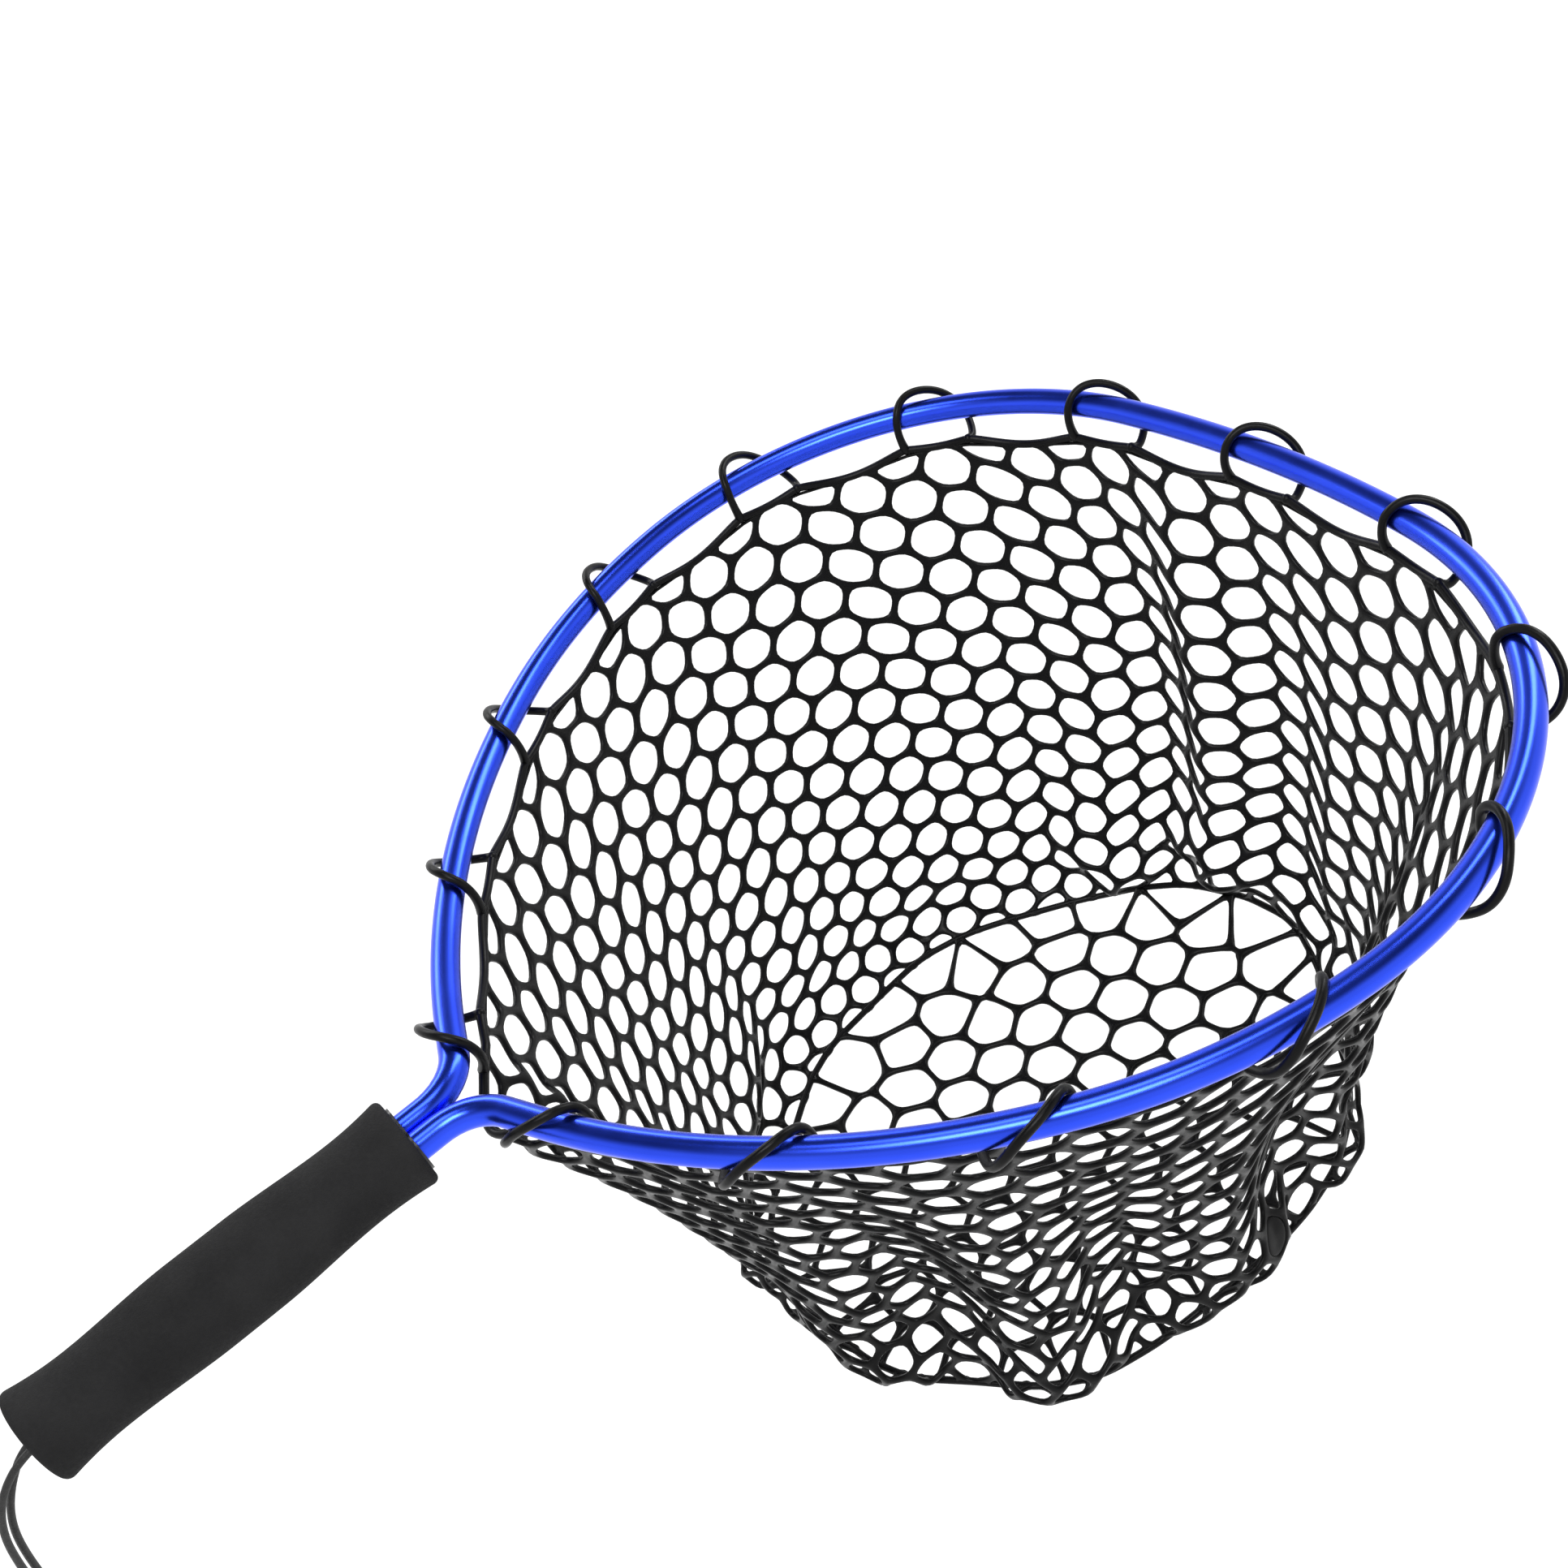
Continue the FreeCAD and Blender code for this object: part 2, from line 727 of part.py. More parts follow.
def carabiner_body():
    arch, stock = size("hook_arch_radius"), size("hook_stock")
    half, thick = stock / 2, size("tongue") / 2
    path = feature("hook_path", Part.Wire(hook_line()))
    start = path.Shape.OrderedVertexes[0].Point
    ring = primitive("Circle", "hook_ring", start, ALONG_Y, Radius="Sizes.hook_stock / 2")
    stock_sweep = doc.addObject("Part::Sweep", "hook_stock_sweep")
    stock_sweep.Sections, stock_sweep.Solid = [ring], True
    stock_sweep.Spine = (path, [f"Edge{i + 1}" for i in range(len(path.Shape.Edges))])
    hinge, latch = -size("hook_hinge_drop"), -size("latch_drop")
    heel_end, nose = hinge - size("hinge_reach"), -size("hook_nose_drop")
    hinge_tongue = box_between(
        "hinge_tongue", Vector(arch - half, heel_end - half, -thick), Vector(arch + half, hinge, thick)
    )
    hinge_round = cross_pin("hinge_round", -hinge, "Sizes.hook_stock / 2", 2 * thick)
    nose_end = latch - size("nose_reach")
    nose_tongue = box_between(
        "nose_tongue", Vector(arch - half, nose_end, -thick), Vector(arch + half, nose + half, thick)
    )
    solid = fuse("hook_solid", [stock_sweep, hinge_tongue, hinge_round, nose_tongue])
    hole_radius = "Sizes.hinge_pin_diameter / 2 + Sizes.running_gap"
    hinge_hole = cross_pin("hinge_hole", -hinge, hole_radius, stock * 2)
    notch_radius = "Sizes.latch_pin_diameter / 2 + Sizes.latch_gap"
    notch_round = cross_pin("notch_round", -latch, notch_radius, stock * 2)
    notch_half = size("latch_pin_diameter") / 2 + size("latch_gap")
    notch = box_between(
        "notch", Vector(arch - stock, latch - notch_half, -stock), Vector(arch, latch + notch_half, stock)
    )
    cuts = fuse("hook_cuts", [hinge_hole, notch_round, notch])
    return hook_node(cut("hook", solid, cuts), "carabiner_body")


def carabiner_gate():
    arch, radius = size("hook_arch_radius"), size("gate_diameter") / 2
    hinge, latch, slot = -size("hook_hinge_drop"), -size("latch_drop"), size("gate_slot") / 2
    low, high = hinge - size("gate_heel"), -size("hook_nose_drop") - size("gate_top_gap")
    bar_radius = "Sizes.gate_diameter / 2"
    bar = primitive("Cylinder", "gate_bar", Vector(arch, low, 0), ALONG_Y, Radius=bar_radius)
    bar.Height = high - low
    left, right = arch - 2 * radius, arch + 2 * radius
    seat = spring_seat()
    hinge_slot = box_between("hinge_slot", Vector(left, low - 1, -slot), Vector(right, seat, slot))
    slot_end = latch - size("nose_slot_depth")
    nose_slot = box_between("nose_slot", Vector(left, slot_end, -slot), Vector(right, 0, slot))
    bore_radius = "Sizes.gate_bore_diameter / 2"
    bore = primitive("Cylinder", "gate_bore", Vector(arch, hinge, 0), ALONG_Y, Radius=bore_radius)
    bore.Height = size("gate_bore_reach")
    holes = [
        cross_pin("gate_hinge_hole", -hinge, "Sizes.hinge_pin_diameter / 2", 4 * radius),
        cross_pin("gate_latch_hole", -latch, "Sizes.latch_pin_diameter / 2", 4 * radius),
    ]
    cuts = fuse("gate_cuts", [hinge_slot, nose_slot, bore] + holes)
    return hook_node(cut("gate", bar, cuts), "carabiner_gate")


def spring_seat():
    """Where the slot for the hinge tongue ends and the spring's bore begins."""
    return -size("hook_hinge_drop") + size("hinge_slot_depth")


def gate_small_parts():
    """The two pins across the gate, and the plunger and spring that close it."""
    arch, hinge = size("hook_arch_radius"), -size("hook_hinge_drop")
    across = size("gate_diameter") - size("pin_shortfall")
    pivot = cross_pin("hinge_pin", -hinge, "Sizes.hinge_pin_diameter / 2", across)
    hook_node(pivot, "gate_hinge_pin")
    latch = cross_pin("latch_pin", size("latch_drop"), "Sizes.latch_pin_diameter / 2", across)
    hook_node(latch, "gate_latch_pin")
    plunger_end = hinge + size("hook_stock") / 2 + size("latch_gap")
    plunger_start = Vector(arch, plunger_end, 0)
    plunger_radius = "Sizes.gate_bore_diameter / 2 - Sizes.plunger_gap"
    plunger = primitive("Cylinder", "plunger", plunger_start, ALONG_Y, Radius=plunger_radius)
    plunger.Height = size("plunger_length")
    hook_node(plunger, "gate_plunger")
    spring_start = plunger_end + size("plunger_length") + size("spring_wire")
    spring_end = hinge + size("gate_bore_reach") - size("spring_wire")
    coil = doc.addObject("Part::Helix", "spring_coil")
    coil.Pitch = size("spring_pitch")
    coil.Height = spring_end - spring_start
    coil.Radius = size("gate_bore_diameter") / 2 - size("spring_wire")
    coil.Placement = FreeCAD.Placement(Vector(arch, spring_start, 0), ALONG_Y)
    doc.recompute()
    first = coil.Shape.Edges[0]
    heading = first.tangentAt(first.FirstParameter)
    turn = FreeCAD.Rotation(Vector(0, 0, 1), heading)
    start = first.valueAt(first.FirstParameter)
    wire = primitive("Circle", "spring_wire_ring", start, turn, Radius="Sizes.spring_wire / 2")
    spring = doc.addObject("Part::Sweep", "spring")
    spring.Sections, spring.Solid, spring.Frenet = [wire], True, True
    spring.Spine = (coil, [f"Edge{i + 1}" for i in range(len(coil.Shape.Edges))])
    hook_node(spring, "gate_spring")


def make_all():
    hoop_tube()
    tail_pin()
    foam_grip()
    front_collar()
    butt_plug()
    lanyard_knot()
    lanyard_cord()
    net_rim()
    net_wall()
    net_floor()
    net_plate()
    net_loops()
    carabiner_body()
    carabiner_gate()
    gate_small_parts()


make_all()
doc.recompute()

# ---------------------------------------------------------------------------------------------------
# Checks and export
# ---------------------------------------------------------------------------------------------------
broken = [item.Name for item in doc.Objects if {"Invalid", "Error"} & set(item.State)]
broken += [item.Label for item in nodes if item.Shape.isNull() or not item.Shape.isValid()]
if broken:
    sys.exit(f"failed: {broken}")
for item in nodes:
    print(item.Label, len(item.Shape.Solids), round(item.Shape.Volume, 1))
    item.Shape.exportStep(f"parts/{item.Label}.step")
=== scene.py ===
"""Looks for the landing net: camera and light, cord, hoop, handle, rubber mesh and snap hook."""
import math

import bpy
import numpy as np
from mathutils import Matrix, Vector


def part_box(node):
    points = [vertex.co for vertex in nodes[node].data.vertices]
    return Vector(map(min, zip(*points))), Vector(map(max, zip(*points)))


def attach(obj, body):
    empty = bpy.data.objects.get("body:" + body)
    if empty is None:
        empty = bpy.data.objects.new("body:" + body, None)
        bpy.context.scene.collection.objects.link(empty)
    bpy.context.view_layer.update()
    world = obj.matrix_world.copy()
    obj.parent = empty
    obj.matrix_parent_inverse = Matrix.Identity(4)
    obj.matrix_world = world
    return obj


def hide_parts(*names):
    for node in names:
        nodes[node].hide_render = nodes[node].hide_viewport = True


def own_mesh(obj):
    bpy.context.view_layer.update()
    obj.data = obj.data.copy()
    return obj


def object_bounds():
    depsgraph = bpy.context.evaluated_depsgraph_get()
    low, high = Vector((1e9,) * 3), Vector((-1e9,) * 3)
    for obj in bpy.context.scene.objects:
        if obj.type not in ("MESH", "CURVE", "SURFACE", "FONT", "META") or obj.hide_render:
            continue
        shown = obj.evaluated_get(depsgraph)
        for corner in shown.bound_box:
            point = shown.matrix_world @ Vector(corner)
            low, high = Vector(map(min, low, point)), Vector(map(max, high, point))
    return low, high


MM = 0.001
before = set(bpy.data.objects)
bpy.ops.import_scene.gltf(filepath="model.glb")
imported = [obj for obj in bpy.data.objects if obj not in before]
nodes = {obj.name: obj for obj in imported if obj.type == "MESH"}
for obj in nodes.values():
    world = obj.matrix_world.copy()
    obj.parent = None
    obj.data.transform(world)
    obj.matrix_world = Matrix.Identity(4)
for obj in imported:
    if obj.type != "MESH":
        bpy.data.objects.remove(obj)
cad_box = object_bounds()
scene = bpy.context.scene


# ---------------------------------------------------------------------------------------------------
# Camera
# ---------------------------------------------------------------------------------------------------
CAMERA_PLACE = (0.0643, -0.4444, 0.4148)
CAMERA_BEARING = math.radians(68.451)
CAMERA_TILT = math.radians(-43.791)
CAMERA_ROLL = math.radians(-24.007)
CAMERA_LENS = 43.414
CAMERA_SHIFT = (-0.0513, 0.0688)


def make_camera():
    across_tilt = math.cos(CAMERA_TILT)
    ahead = Vector(
        (
            across_tilt * math.cos(CAMERA_BEARING),
            across_tilt * math.sin(CAMERA_BEARING),
            math.sin(CAMERA_TILT),
        )
    )
    level = Vector((math.sin(CAMERA_BEARING), -math.cos(CAMERA_BEARING), 0))
    rise = level.cross(ahead)
    right = level * math.cos(CAMERA_ROLL) + rise * math.sin(CAMERA_ROLL)
    up = rise * math.cos(CAMERA_ROLL) - level * math.sin(CAMERA_ROLL)
    data = bpy.data.cameras.new("camera")
    data.sensor_width = 36
    data.lens = CAMERA_LENS
    data.shift_x, data.shift_y = CAMERA_SHIFT
    data.clip_start, data.clip_end = 0.01, 20
    camera = bpy.data.objects.new("camera", data)
    scene.collection.objects.link(camera)
    turn = Matrix((right, up, -ahead)).transposed().to_4x4()
    camera.matrix_world = Matrix.Translation(CAMERA_PLACE) @ turn
    scene.camera = camera


make_camera()


# ---------------------------------------------------------------------------------------------------
# Materials
# ---------------------------------------------------------------------------------------------------
class Surface:
    """A Principled material with object coordinates, and bumps added one on another."""

    def __init__(self, name, **sockets):
        self.material = bpy.data.materials.new(name)
        self.material.use_nodes = True
        self.tree = self.material.node_tree
        self.shader = self.tree.nodes["Principled BSDF"]
        for socket, value in sockets.items():
            self.shader.inputs[socket.replace("_", " ")].default_value = value
        self.coordinates = self.tree.nodes.new("ShaderNodeTexCoord").outputs["Object"]
        self.normal = None

    def link(self, start, end):
        self.tree.links.new(start, end)

    def stretched(self, stretch):
        mapping = self.tree.nodes.new("ShaderNodeMapping")
        mapping.inputs["Scale"].default_value = stretch
        self.link(self.coordinates, mapping.inputs["Vector"])
        return mapping.outputs["Vector"]

    def noise(self, scale, detail=2.0, roughness=0.5, stretch=None):
        noise = self.tree.nodes.new("ShaderNodeTexNoise")
        noise.inputs["Scale"].default_value = scale
        noise.inputs["Detail"].default_value = detail
        noise.inputs["Roughness"].default_value = roughness
        self.link(self.stretched(stretch) if stretch else self.coordinates, noise.inputs["Vector"])
        return noise.outputs["Fac"]

    def cells(self, scale):
        cells = self.tree.nodes.new("ShaderNodeTexVoronoi")
        cells.inputs["Scale"].default_value = scale
        self.link(self.coordinates, cells.inputs["Vector"])
        return cells.outputs["Distance"]

    def bump(self, height, distance, strength=1.0):
        bump = self.tree.nodes.new("ShaderNodeBump")
        bump.inputs["Distance"].default_value = distance
        bump.inputs["Strength"].default_value = strength
        self.link(height, bump.inputs["Height"])
        if self.normal:
            self.link(self.normal, bump.inputs["Normal"])
        self.normal = bump.outputs["Normal"]
        self.link(self.normal, self.shader.inputs["Normal"])

    def vary(self, socket, source, low, high, start=0.3, end=0.7):
        """Drives a number or a colour between two values with a pattern."""
        if isinstance(low, tuple):
            ramp = self.tree.nodes.new("ShaderNodeValToRGB")
            ramp.color_ramp.elements[0].position = start
            ramp.color_ramp.elements[1].position = end
            ramp.color_ramp.elements[0].color = (*low, 1)
            ramp.color_ramp.elements[1].color = (*high, 1)
            self.link(source, ramp.inputs["Fac"])
            self.link(ramp.outputs["Color"], self.shader.inputs[socket])
            return
        spread = self.tree.nodes.new("ShaderNodeMapRange")
        spread.inputs["From Min"].default_value = start
        spread.inputs["From Max"].default_value = end
        spread.inputs["To Min"].default_value = low
        spread.inputs["To Max"].default_value = high
        self.link(source, spread.inputs["Value"])
        self.link(spread.outputs["Result"], self.shader.inputs[socket])


def anodised(name, dark, light, roughness):
    made = Surface(name, Metallic=1.0)
    made.vary("Base Color", made.noise(38, 3), dark, light)
    made.vary("Roughness", made.noise(90, 2, stretch=(1, 1, 0.6)), roughness, roughness + 0.03)
    return made.material


def rubber(name):
    made = Surface(name, Specular_IOR_Level=0.13)
    made.vary("Base Color", made.noise(60, 2), (0.0025, 0.0025, 0.0027), (0.0042, 0.0042, 0.0044))
    made.vary("Roughness", made.noise(180, 3), 0.28, 0.42)
    made.bump(made.noise(900, 3), 0.00006, 0.6)
    return made.material


def foam(name):
    made = Surface(name, Specular_IOR_Level=0.1)
    made.vary("Base Color", made.noise(45, 4), (0.012, 0.012, 0.0124), (0.019, 0.019, 0.0194))
    made.vary("Roughness", made.noise(700, 2), 0.72, 0.9)
    made.bump(made.noise(160, 3), 0.0003, 0.5)
    made.bump(made.cells(1500), 0.00016, 0.7)
    return made.material


def plastic(name):
    made = Surface(name, Specular_IOR_Level=0.5)
    made.vary("Base Color", made.noise(80), (0.008, 0.008, 0.009), (0.012, 0.012, 0.013))
    made.vary("Roughness", made.noise(260), 0.26, 0.36)
    made.bump(made.noise(1400), 0.00003, 0.4)
    return made.material


def braid(name):
    made = Surface(name, Specular_IOR_Level=0.4, Sheen_Weight=0.1)
    made.vary("Base Color", made.noise(500), (0.006, 0.006, 0.006), (0.014, 0.014, 0.014))
    made.vary("Roughness", made.noise(900), 0.5, 0.66)
    made.bump(made.cells(1900), 0.00012, 0.6)
    return made.material


def steel(name, shade, roughness):
    made = Surface(name, Metallic=1.0)
    low = tuple(value * 0.86 for value in shade)
    made.vary("Base Color", made.noise(140), low, shade)
    made.vary("Roughness", made.noise(900, stretch=(1, 1, 8)), roughness, roughness + 0.1)
    made.bump(made.noise(1800, stretch=(1, 1, 6)), 0.00002, 0.4)
    return made.material


HOOP_BLUE = anodised("anodised_hoop", (0.030, 0.078, 0.82), (0.036, 0.090, 0.90), 0.23)
HOOK_BLUE = anodised("anodised_hook", (0.006, 0.02, 0.20), (0.01, 0.03, 0.28), 0.25)
RUBBER = rubber("net_rubber")
FOAM = foam("grip_foam")
PLASTIC = plastic("black_plastic")
CORD = braid("black_cord")
GATE = steel("gate_metal", (0.62, 0.63, 0.65), 0.24)
PIN = steel("pin_steel", (0.55, 0.55, 0.57), 0.3)


def dress(name, material):
    """Gives a CAD node its material."""
    data = nodes[name].data
    data.materials.clear()
    data.materials.append(material)


# ---------------------------------------------------------------------------------------------------
# Cord
# ---------------------------------------------------------------------------------------------------
CORD_DIAMETER = 0.0024
CORD_ROUTE = [
    (-58.0, -1.9, 0.0),
    (-72.0, -2.0, -0.6),
    (-84.2, -2.1, -7.6),
    (-92.5, -2.2, -19.5),
    (-97.5, -2.3, -36.0),
    (-101.5, -2.4, -58.0),
    (-105.0, -2.4, -87.0),
    (-108.4, -2.3, -124.0),
    (-111.6, -2.2, -164.0),
    (-115.8, -2.2, -202.0),
    (-120.0, -2.4, -233.0),
    (-120.4, -2.8, -260.0),
    (-122.6, -3.4, -283.0),
    (-122.6, -4.4, -302.0),
    (-120.6, -5.6, -316.5),
    (-117.0, -6.3, -326.5),
    (-112.9, -3.5, -333.1),
    (-106.1, 3.5, -333.1),
    (-100.6, 6.4, -328.2),
    (-96.2, 6.4, -318.6),
    (-94.6, 5.4, -304.0),
    (-96.6, 4.2, -281.0),
    (-101.2, 3.2, -248.0),
    (-104.9, 2.8, -212.0),
    (-106.8, 2.5, -172.0),
    (-105.8, 2.3, -131.0),
    (-103.2, 2.1, -94.0),
    (-99.9, 1.9, -63.0),
    (-96.0, 1.8, -41.0),
    (-91.0, 1.8, -24.0),
    (-82.7, 1.9, -11.6),
    (-70.8, 2.0, -1.2),
    (-58.0, 1.9, 0.0),
]


def make_cord():
    data = bpy.data.curves.new("lanyard", "CURVE")
    data.dimensions = "3D"
    data.bevel_depth = CORD_DIAMETER / 2
    data.bevel_resolution = 5
    data.resolution_u = 12
    spline = data.splines.new("NURBS")
    spline.points.add(len(CORD_ROUTE) - 1)
    for point, place in zip(spline.points, CORD_ROUTE):
        point.co = (*(value * MM for value in place), 1)
    spline.order_u = 3
    spline.use_endpoint_u = True
    data.materials.append(CORD)
    cord = bpy.data.objects.new("lanyard", data)
    scene.collection.objects.link(cord)
    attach(cord, "net")
    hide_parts("lanyard_cord")


make_cord()


# ---------------------------------------------------------------------------------------------------
# Lines of the hoop and of the net's rim, in millimetres
# ---------------------------------------------------------------------------------------------------
TUBE_RADIUS = 5.0
TAIL_SPACING = 10.5
TAIL_END = -44.0
NECK_START = 76.0
NECK_RADIUS = 20.5
NECK_ANGLE = 67.0
NECK_STRAIGHT = 12.0
BENDS = ((288.0, 34.0), (202.0, 25.5), (140.0, 89.5))
RIM_INSET = 6.5
RIM_HEEL = 30.0
RIM_DROP = 14.0
STEP = 1.0


def drawn(place, heading, moves):
    """Points along runs and arcs in the plane, about a step apart. An arc's angle turns left."""
    spots = [np.array(place, float)]
    for move in moves:
        if len(move) == 1:
            count = max(2, int(abs(move[0]) / STEP))
            ahead = np.array([math.cos(heading), math.sin(heading)])
            start = spots[-1]
            spots += [start + ahead * move[0] * k / count for k in range(1, count + 1)]
            continue
        radius, degrees = move
        turn = math.radians(degrees)
        side = 1 if turn > 0 else -1
        start = spots[-1]
        centre = start + side * radius * np.array([-math.sin(heading), math.cos(heading)])
        count = max(3, int(abs(turn) * radius / STEP))
        for k in range(1, count + 1):
            now = heading + turn * k / count
            spots.append(centre - side * radius * np.array([-math.sin(now), math.cos(now)]))
        heading += turn
    return spots, heading


def half_line(inset, heel):
    """The +Y half of the hoop's line up to the tip, or of a line inside it that starts behind the neck."""
    angle = math.radians(NECK_ANGLE)
    if heel is None:
        start, heading = (TAIL_END, TAIL_SPACING / 2), 0.0
        moves = [(NECK_START - TAIL_END,), (NECK_RADIUS, NECK_ANGLE), (NECK_STRAIGHT,)]
    else:
        end_x = NECK_START + NECK_RADIUS * math.sin(angle)
        end_y = TAIL_SPACING / 2 + NECK_RADIUS * (1 - math.cos(angle))
        end_x += inset * math.sin(angle) + NECK_STRAIGHT * math.cos(angle)
        end_y += -inset * math.cos(angle) + NECK_STRAIGHT * math.sin(angle)
        start_x = end_x - end_y / math.tan(angle) + heel / math.sin(angle) - heel
        start, heading = (start_x, 0.0), math.pi / 2
        arc_end, _ = drawn(start, heading, [(heel, NECK_ANGLE - 90)])
        moves = [(heel, NECK_ANGLE - 90), (math.hypot(end_x - arc_end[-1][0], end_y - arc_end[-1][1]),)]
    moves += [(radius - inset, -degrees) for radius, degrees in BENDS]
    spots, heading = drawn(start, heading, moves)
    tip_radius = spots[-1][1] / math.cos(heading)
    tip, _ = drawn(spots[-1], heading, [(tip_radius, -90 - math.degrees(heading))])
    return np.array(spots + tip[1:])


def both_halves(half):
    other = half[::-1] * np.array([1, -1])
    return np.vstack([half, other[1:]])


def lengths_along(line):
    return np.concatenate([[0], np.cumsum(np.linalg.norm(np.diff(line, axis=0), axis=1))])


def at_lengths(line, wanted):
    along = lengths_along(line)
    return np.stack([np.interp(wanted, along, line[:, k]) for k in range(line.shape[1])], axis=1)


HOOP = both_halves(half_line(0.0, None))
RIM = both_halves(half_line(RIM_INSET, RIM_HEEL))
RIM_LENGTH = lengths_along(RIM)[-1]


# ---------------------------------------------------------------------------------------------------
# Mesh helpers
# ---------------------------------------------------------------------------------------------------
def mesh_object(name, places, faces, material):
    """A mesh object from places in millimetres."""
    data = bpy.data.meshes.new(name)
    data.from_pydata([tuple(place) for place in np.asarray(places) * MM], [], faces)
    data.validate()
    data.materials.append(material)
    data.shade_smooth()
    made = bpy.data.objects.new(name, data)
    scene.collection.objects.link(made)
    return made


def tube_frames(line, closed):
    """Directions across a line at each of its points, turned as little as possible from one to the next."""
    count = len(line)
    if closed:
        ahead = np.roll(line, -1, axis=0) - np.roll(line, 1, axis=0)
    else:
        ahead = np.gradient(line, axis=0)
    ahead /= np.linalg.norm(ahead, axis=1)[:, None]
    across = np.zeros_like(line)
    first = np.cross(ahead[0], (0, 0, 1)) if abs(ahead[0][2]) < 0.9 else np.cross(ahead[0], (1, 0, 0))
    across[0] = first / np.linalg.norm(first)
    for k in range(1, count):
        carried = across[k - 1] - ahead[k] * np.dot(across[k - 1], ahead[k])
        across[k] = carried / np.linalg.norm(carried)
    if closed:
        last = across[-1] - ahead[0] * np.dot(across[-1], ahead[0])
        last /= np.linalg.norm(last)
        twist = math.atan2(np.dot(np.cross(last, across[0]), ahead[0]), np.dot(last, across[0]))
        turn = twist * np.arange(count) / count
        second = np.cross(ahead, across)
        across = across * np.cos(turn)[:, None] + second * np.sin(turn)[:, None]
    return across, np.cross(ahead, across)


def tube_parts(line, radius, sides, closed=False, rounded=True):
    """Places and faces of a round tube along a line. Open ends are closed with a dome."""
    line = np.asarray(line, float)
    radii = np.full(len(line), float(radius)) if np.isscalar(radius) else np.asarray(radius, float)
    if not closed and rounded:
        start_way = (line[0] - line[1]) / np.linalg.norm(line[0] - line[1])
        end_way = (line[-1] - line[-2]) / np.linalg.norm(line[-1] - line[-2])
        lifts = [math.radians(angle) for angle in (75, 50, 25)]
        start = [line[0] + start_way * radii[0] * math.sin(lift) for lift in lifts]
        end = [line[-1] + end_way * radii[-1] * math.sin(lift) for lift in lifts[::-1]]
        first = [radii[0] * math.cos(lift) for lift in lifts]
        last = [radii[-1] * math.cos(lift) for lift in lifts[::-1]]
        line = np.vstack([start, line, end])
        radii = np.concatenate([first, radii, last])
    across, up = tube_frames(line, closed)
    angles = np.arange(sides) * 2 * math.pi / sides
    ring = np.cos(angles)[None, :, None] * across[:, None] + np.sin(angles)[None, :, None] * up[:, None]
    places = (line[:, None] + ring * radii[:, None, None]).reshape(-1, 3)
    faces = []
    count = len(line)
    for k in range(count if closed else count - 1):
        here, there = k * sides, (k + 1) % count * sides
        for j in range(sides):
            after = (j + 1) % sides
            faces.append((here + j, here + after, there + after, there + j))
    if not closed:
        faces.append(tuple(range(sides))[::-1])
        faces.append(tuple(range((count - 1) * sides, count * sides)))
    return places, faces


def curved(control, per_span=6):
    """A smooth line that leaves its first point, ends at its last and bends inside the others."""
    control = np.asarray(control, float)
    middles = (control[:-1] + control[1:]) / 2
    starts = np.vstack([control[:1], middles[1:-1]])
    ends = np.vstack([middles[1:-1], control[-1:]])
    starts[0], ends[-1] = control[0], control[-1]
    spots = [control[0]]
    for start, bend, end in zip(starts, control[1:-1], ends):
        for k in range(1, per_span + 1):
            share = k / per_span
            spots.append(start * (1 - share) ** 2 + bend * 2 * share * (1 - share) + end * share**2)
    return np.array(spots)


def with_height(line, height):
    return np.column_stack([line, np.full(len(line), height)])


# ---------------------------------------------------------------------------------------------------
# Hoop: the neck is faintly rippled where the tube was bent
# ---------------------------------------------------------------------------------------------------
HOOP_STEP = 1.6
HOOP_SIDES = 40
RIPPLE_REACH = 9.0
RIPPLE_DEPTH = 0.05
RIPPLE_PITCH = 3.4


def make_hoop():
    along = lengths_along(HOOP)
    total = along[-1]
    wanted = np.arange(0, total, HOOP_STEP)
    line = with_height(at_lengths(HOOP, wanted), 0.0)
    neck_middle = NECK_START - TAIL_END + NECK_RADIUS * math.radians(NECK_ANGLE) / 2
    radii = np.full(len(line), TUBE_RADIUS)
    for middle in (neck_middle, total - neck_middle):
        near = np.exp(-(((wanted - middle) / RIPPLE_REACH) ** 2))
        radii += near * RIPPLE_DEPTH * np.sin(wanted * 2 * math.pi / RIPPLE_PITCH)
    places, faces = tube_parts(line, radii, HOOP_SIDES, rounded=False)
    hoop = mesh_object("hoop", places, faces, HOOP_BLUE)
    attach(hoop, "net")
    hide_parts("hoop_tube")


make_hoop()


# ---------------------------------------------------------------------------------------------------
# Handle
# ---------------------------------------------------------------------------------------------------
GRIP_HALF = 67.5
GRIP_SPOTS = (
    (-67.5, 16.6),
    (-46.5, 14.5),
    (-9.0, 16.0),
    (9.0, 16.0),
    (46.5, 14.4),
    (67.5, 16.1),
)
END_ROUND = 2.6
EDGE_MARGIN = 1.5
BARREL_RINGS = 84
GRIP_SIDES = 96
PLUG_SEAT = 8.6
PLUG_LIP = 1.5
COLLAR_SEAT = (13.55, 8.05)
COLLAR_LIP = 4.0
FACE_MARGIN = 0.05
# The foam's skin is a little uneven: depth, count round, turn per millimetre, phase
SKIN_WAVES = ((0.06, 3, 0.05, 0.0), (0.05, 5, -0.11, 1.0))


def grip_radius(x):
    """The barrel's radius, level at both waists and along the belly."""
    for (start, low), (end, high) in zip(GRIP_SPOTS, GRIP_SPOTS[1:]):
        if x > end:
            continue
        share = (x - start) / (end - start)
        if start == -GRIP_HALF:
            return high + (low - high) * (1 - share) ** 2
        if end == GRIP_HALF:
            return low + (high - low) * share**2
        return low + (high - low) * share * share * (3 - 2 * share)
    return GRIP_SPOTS[-1][1]


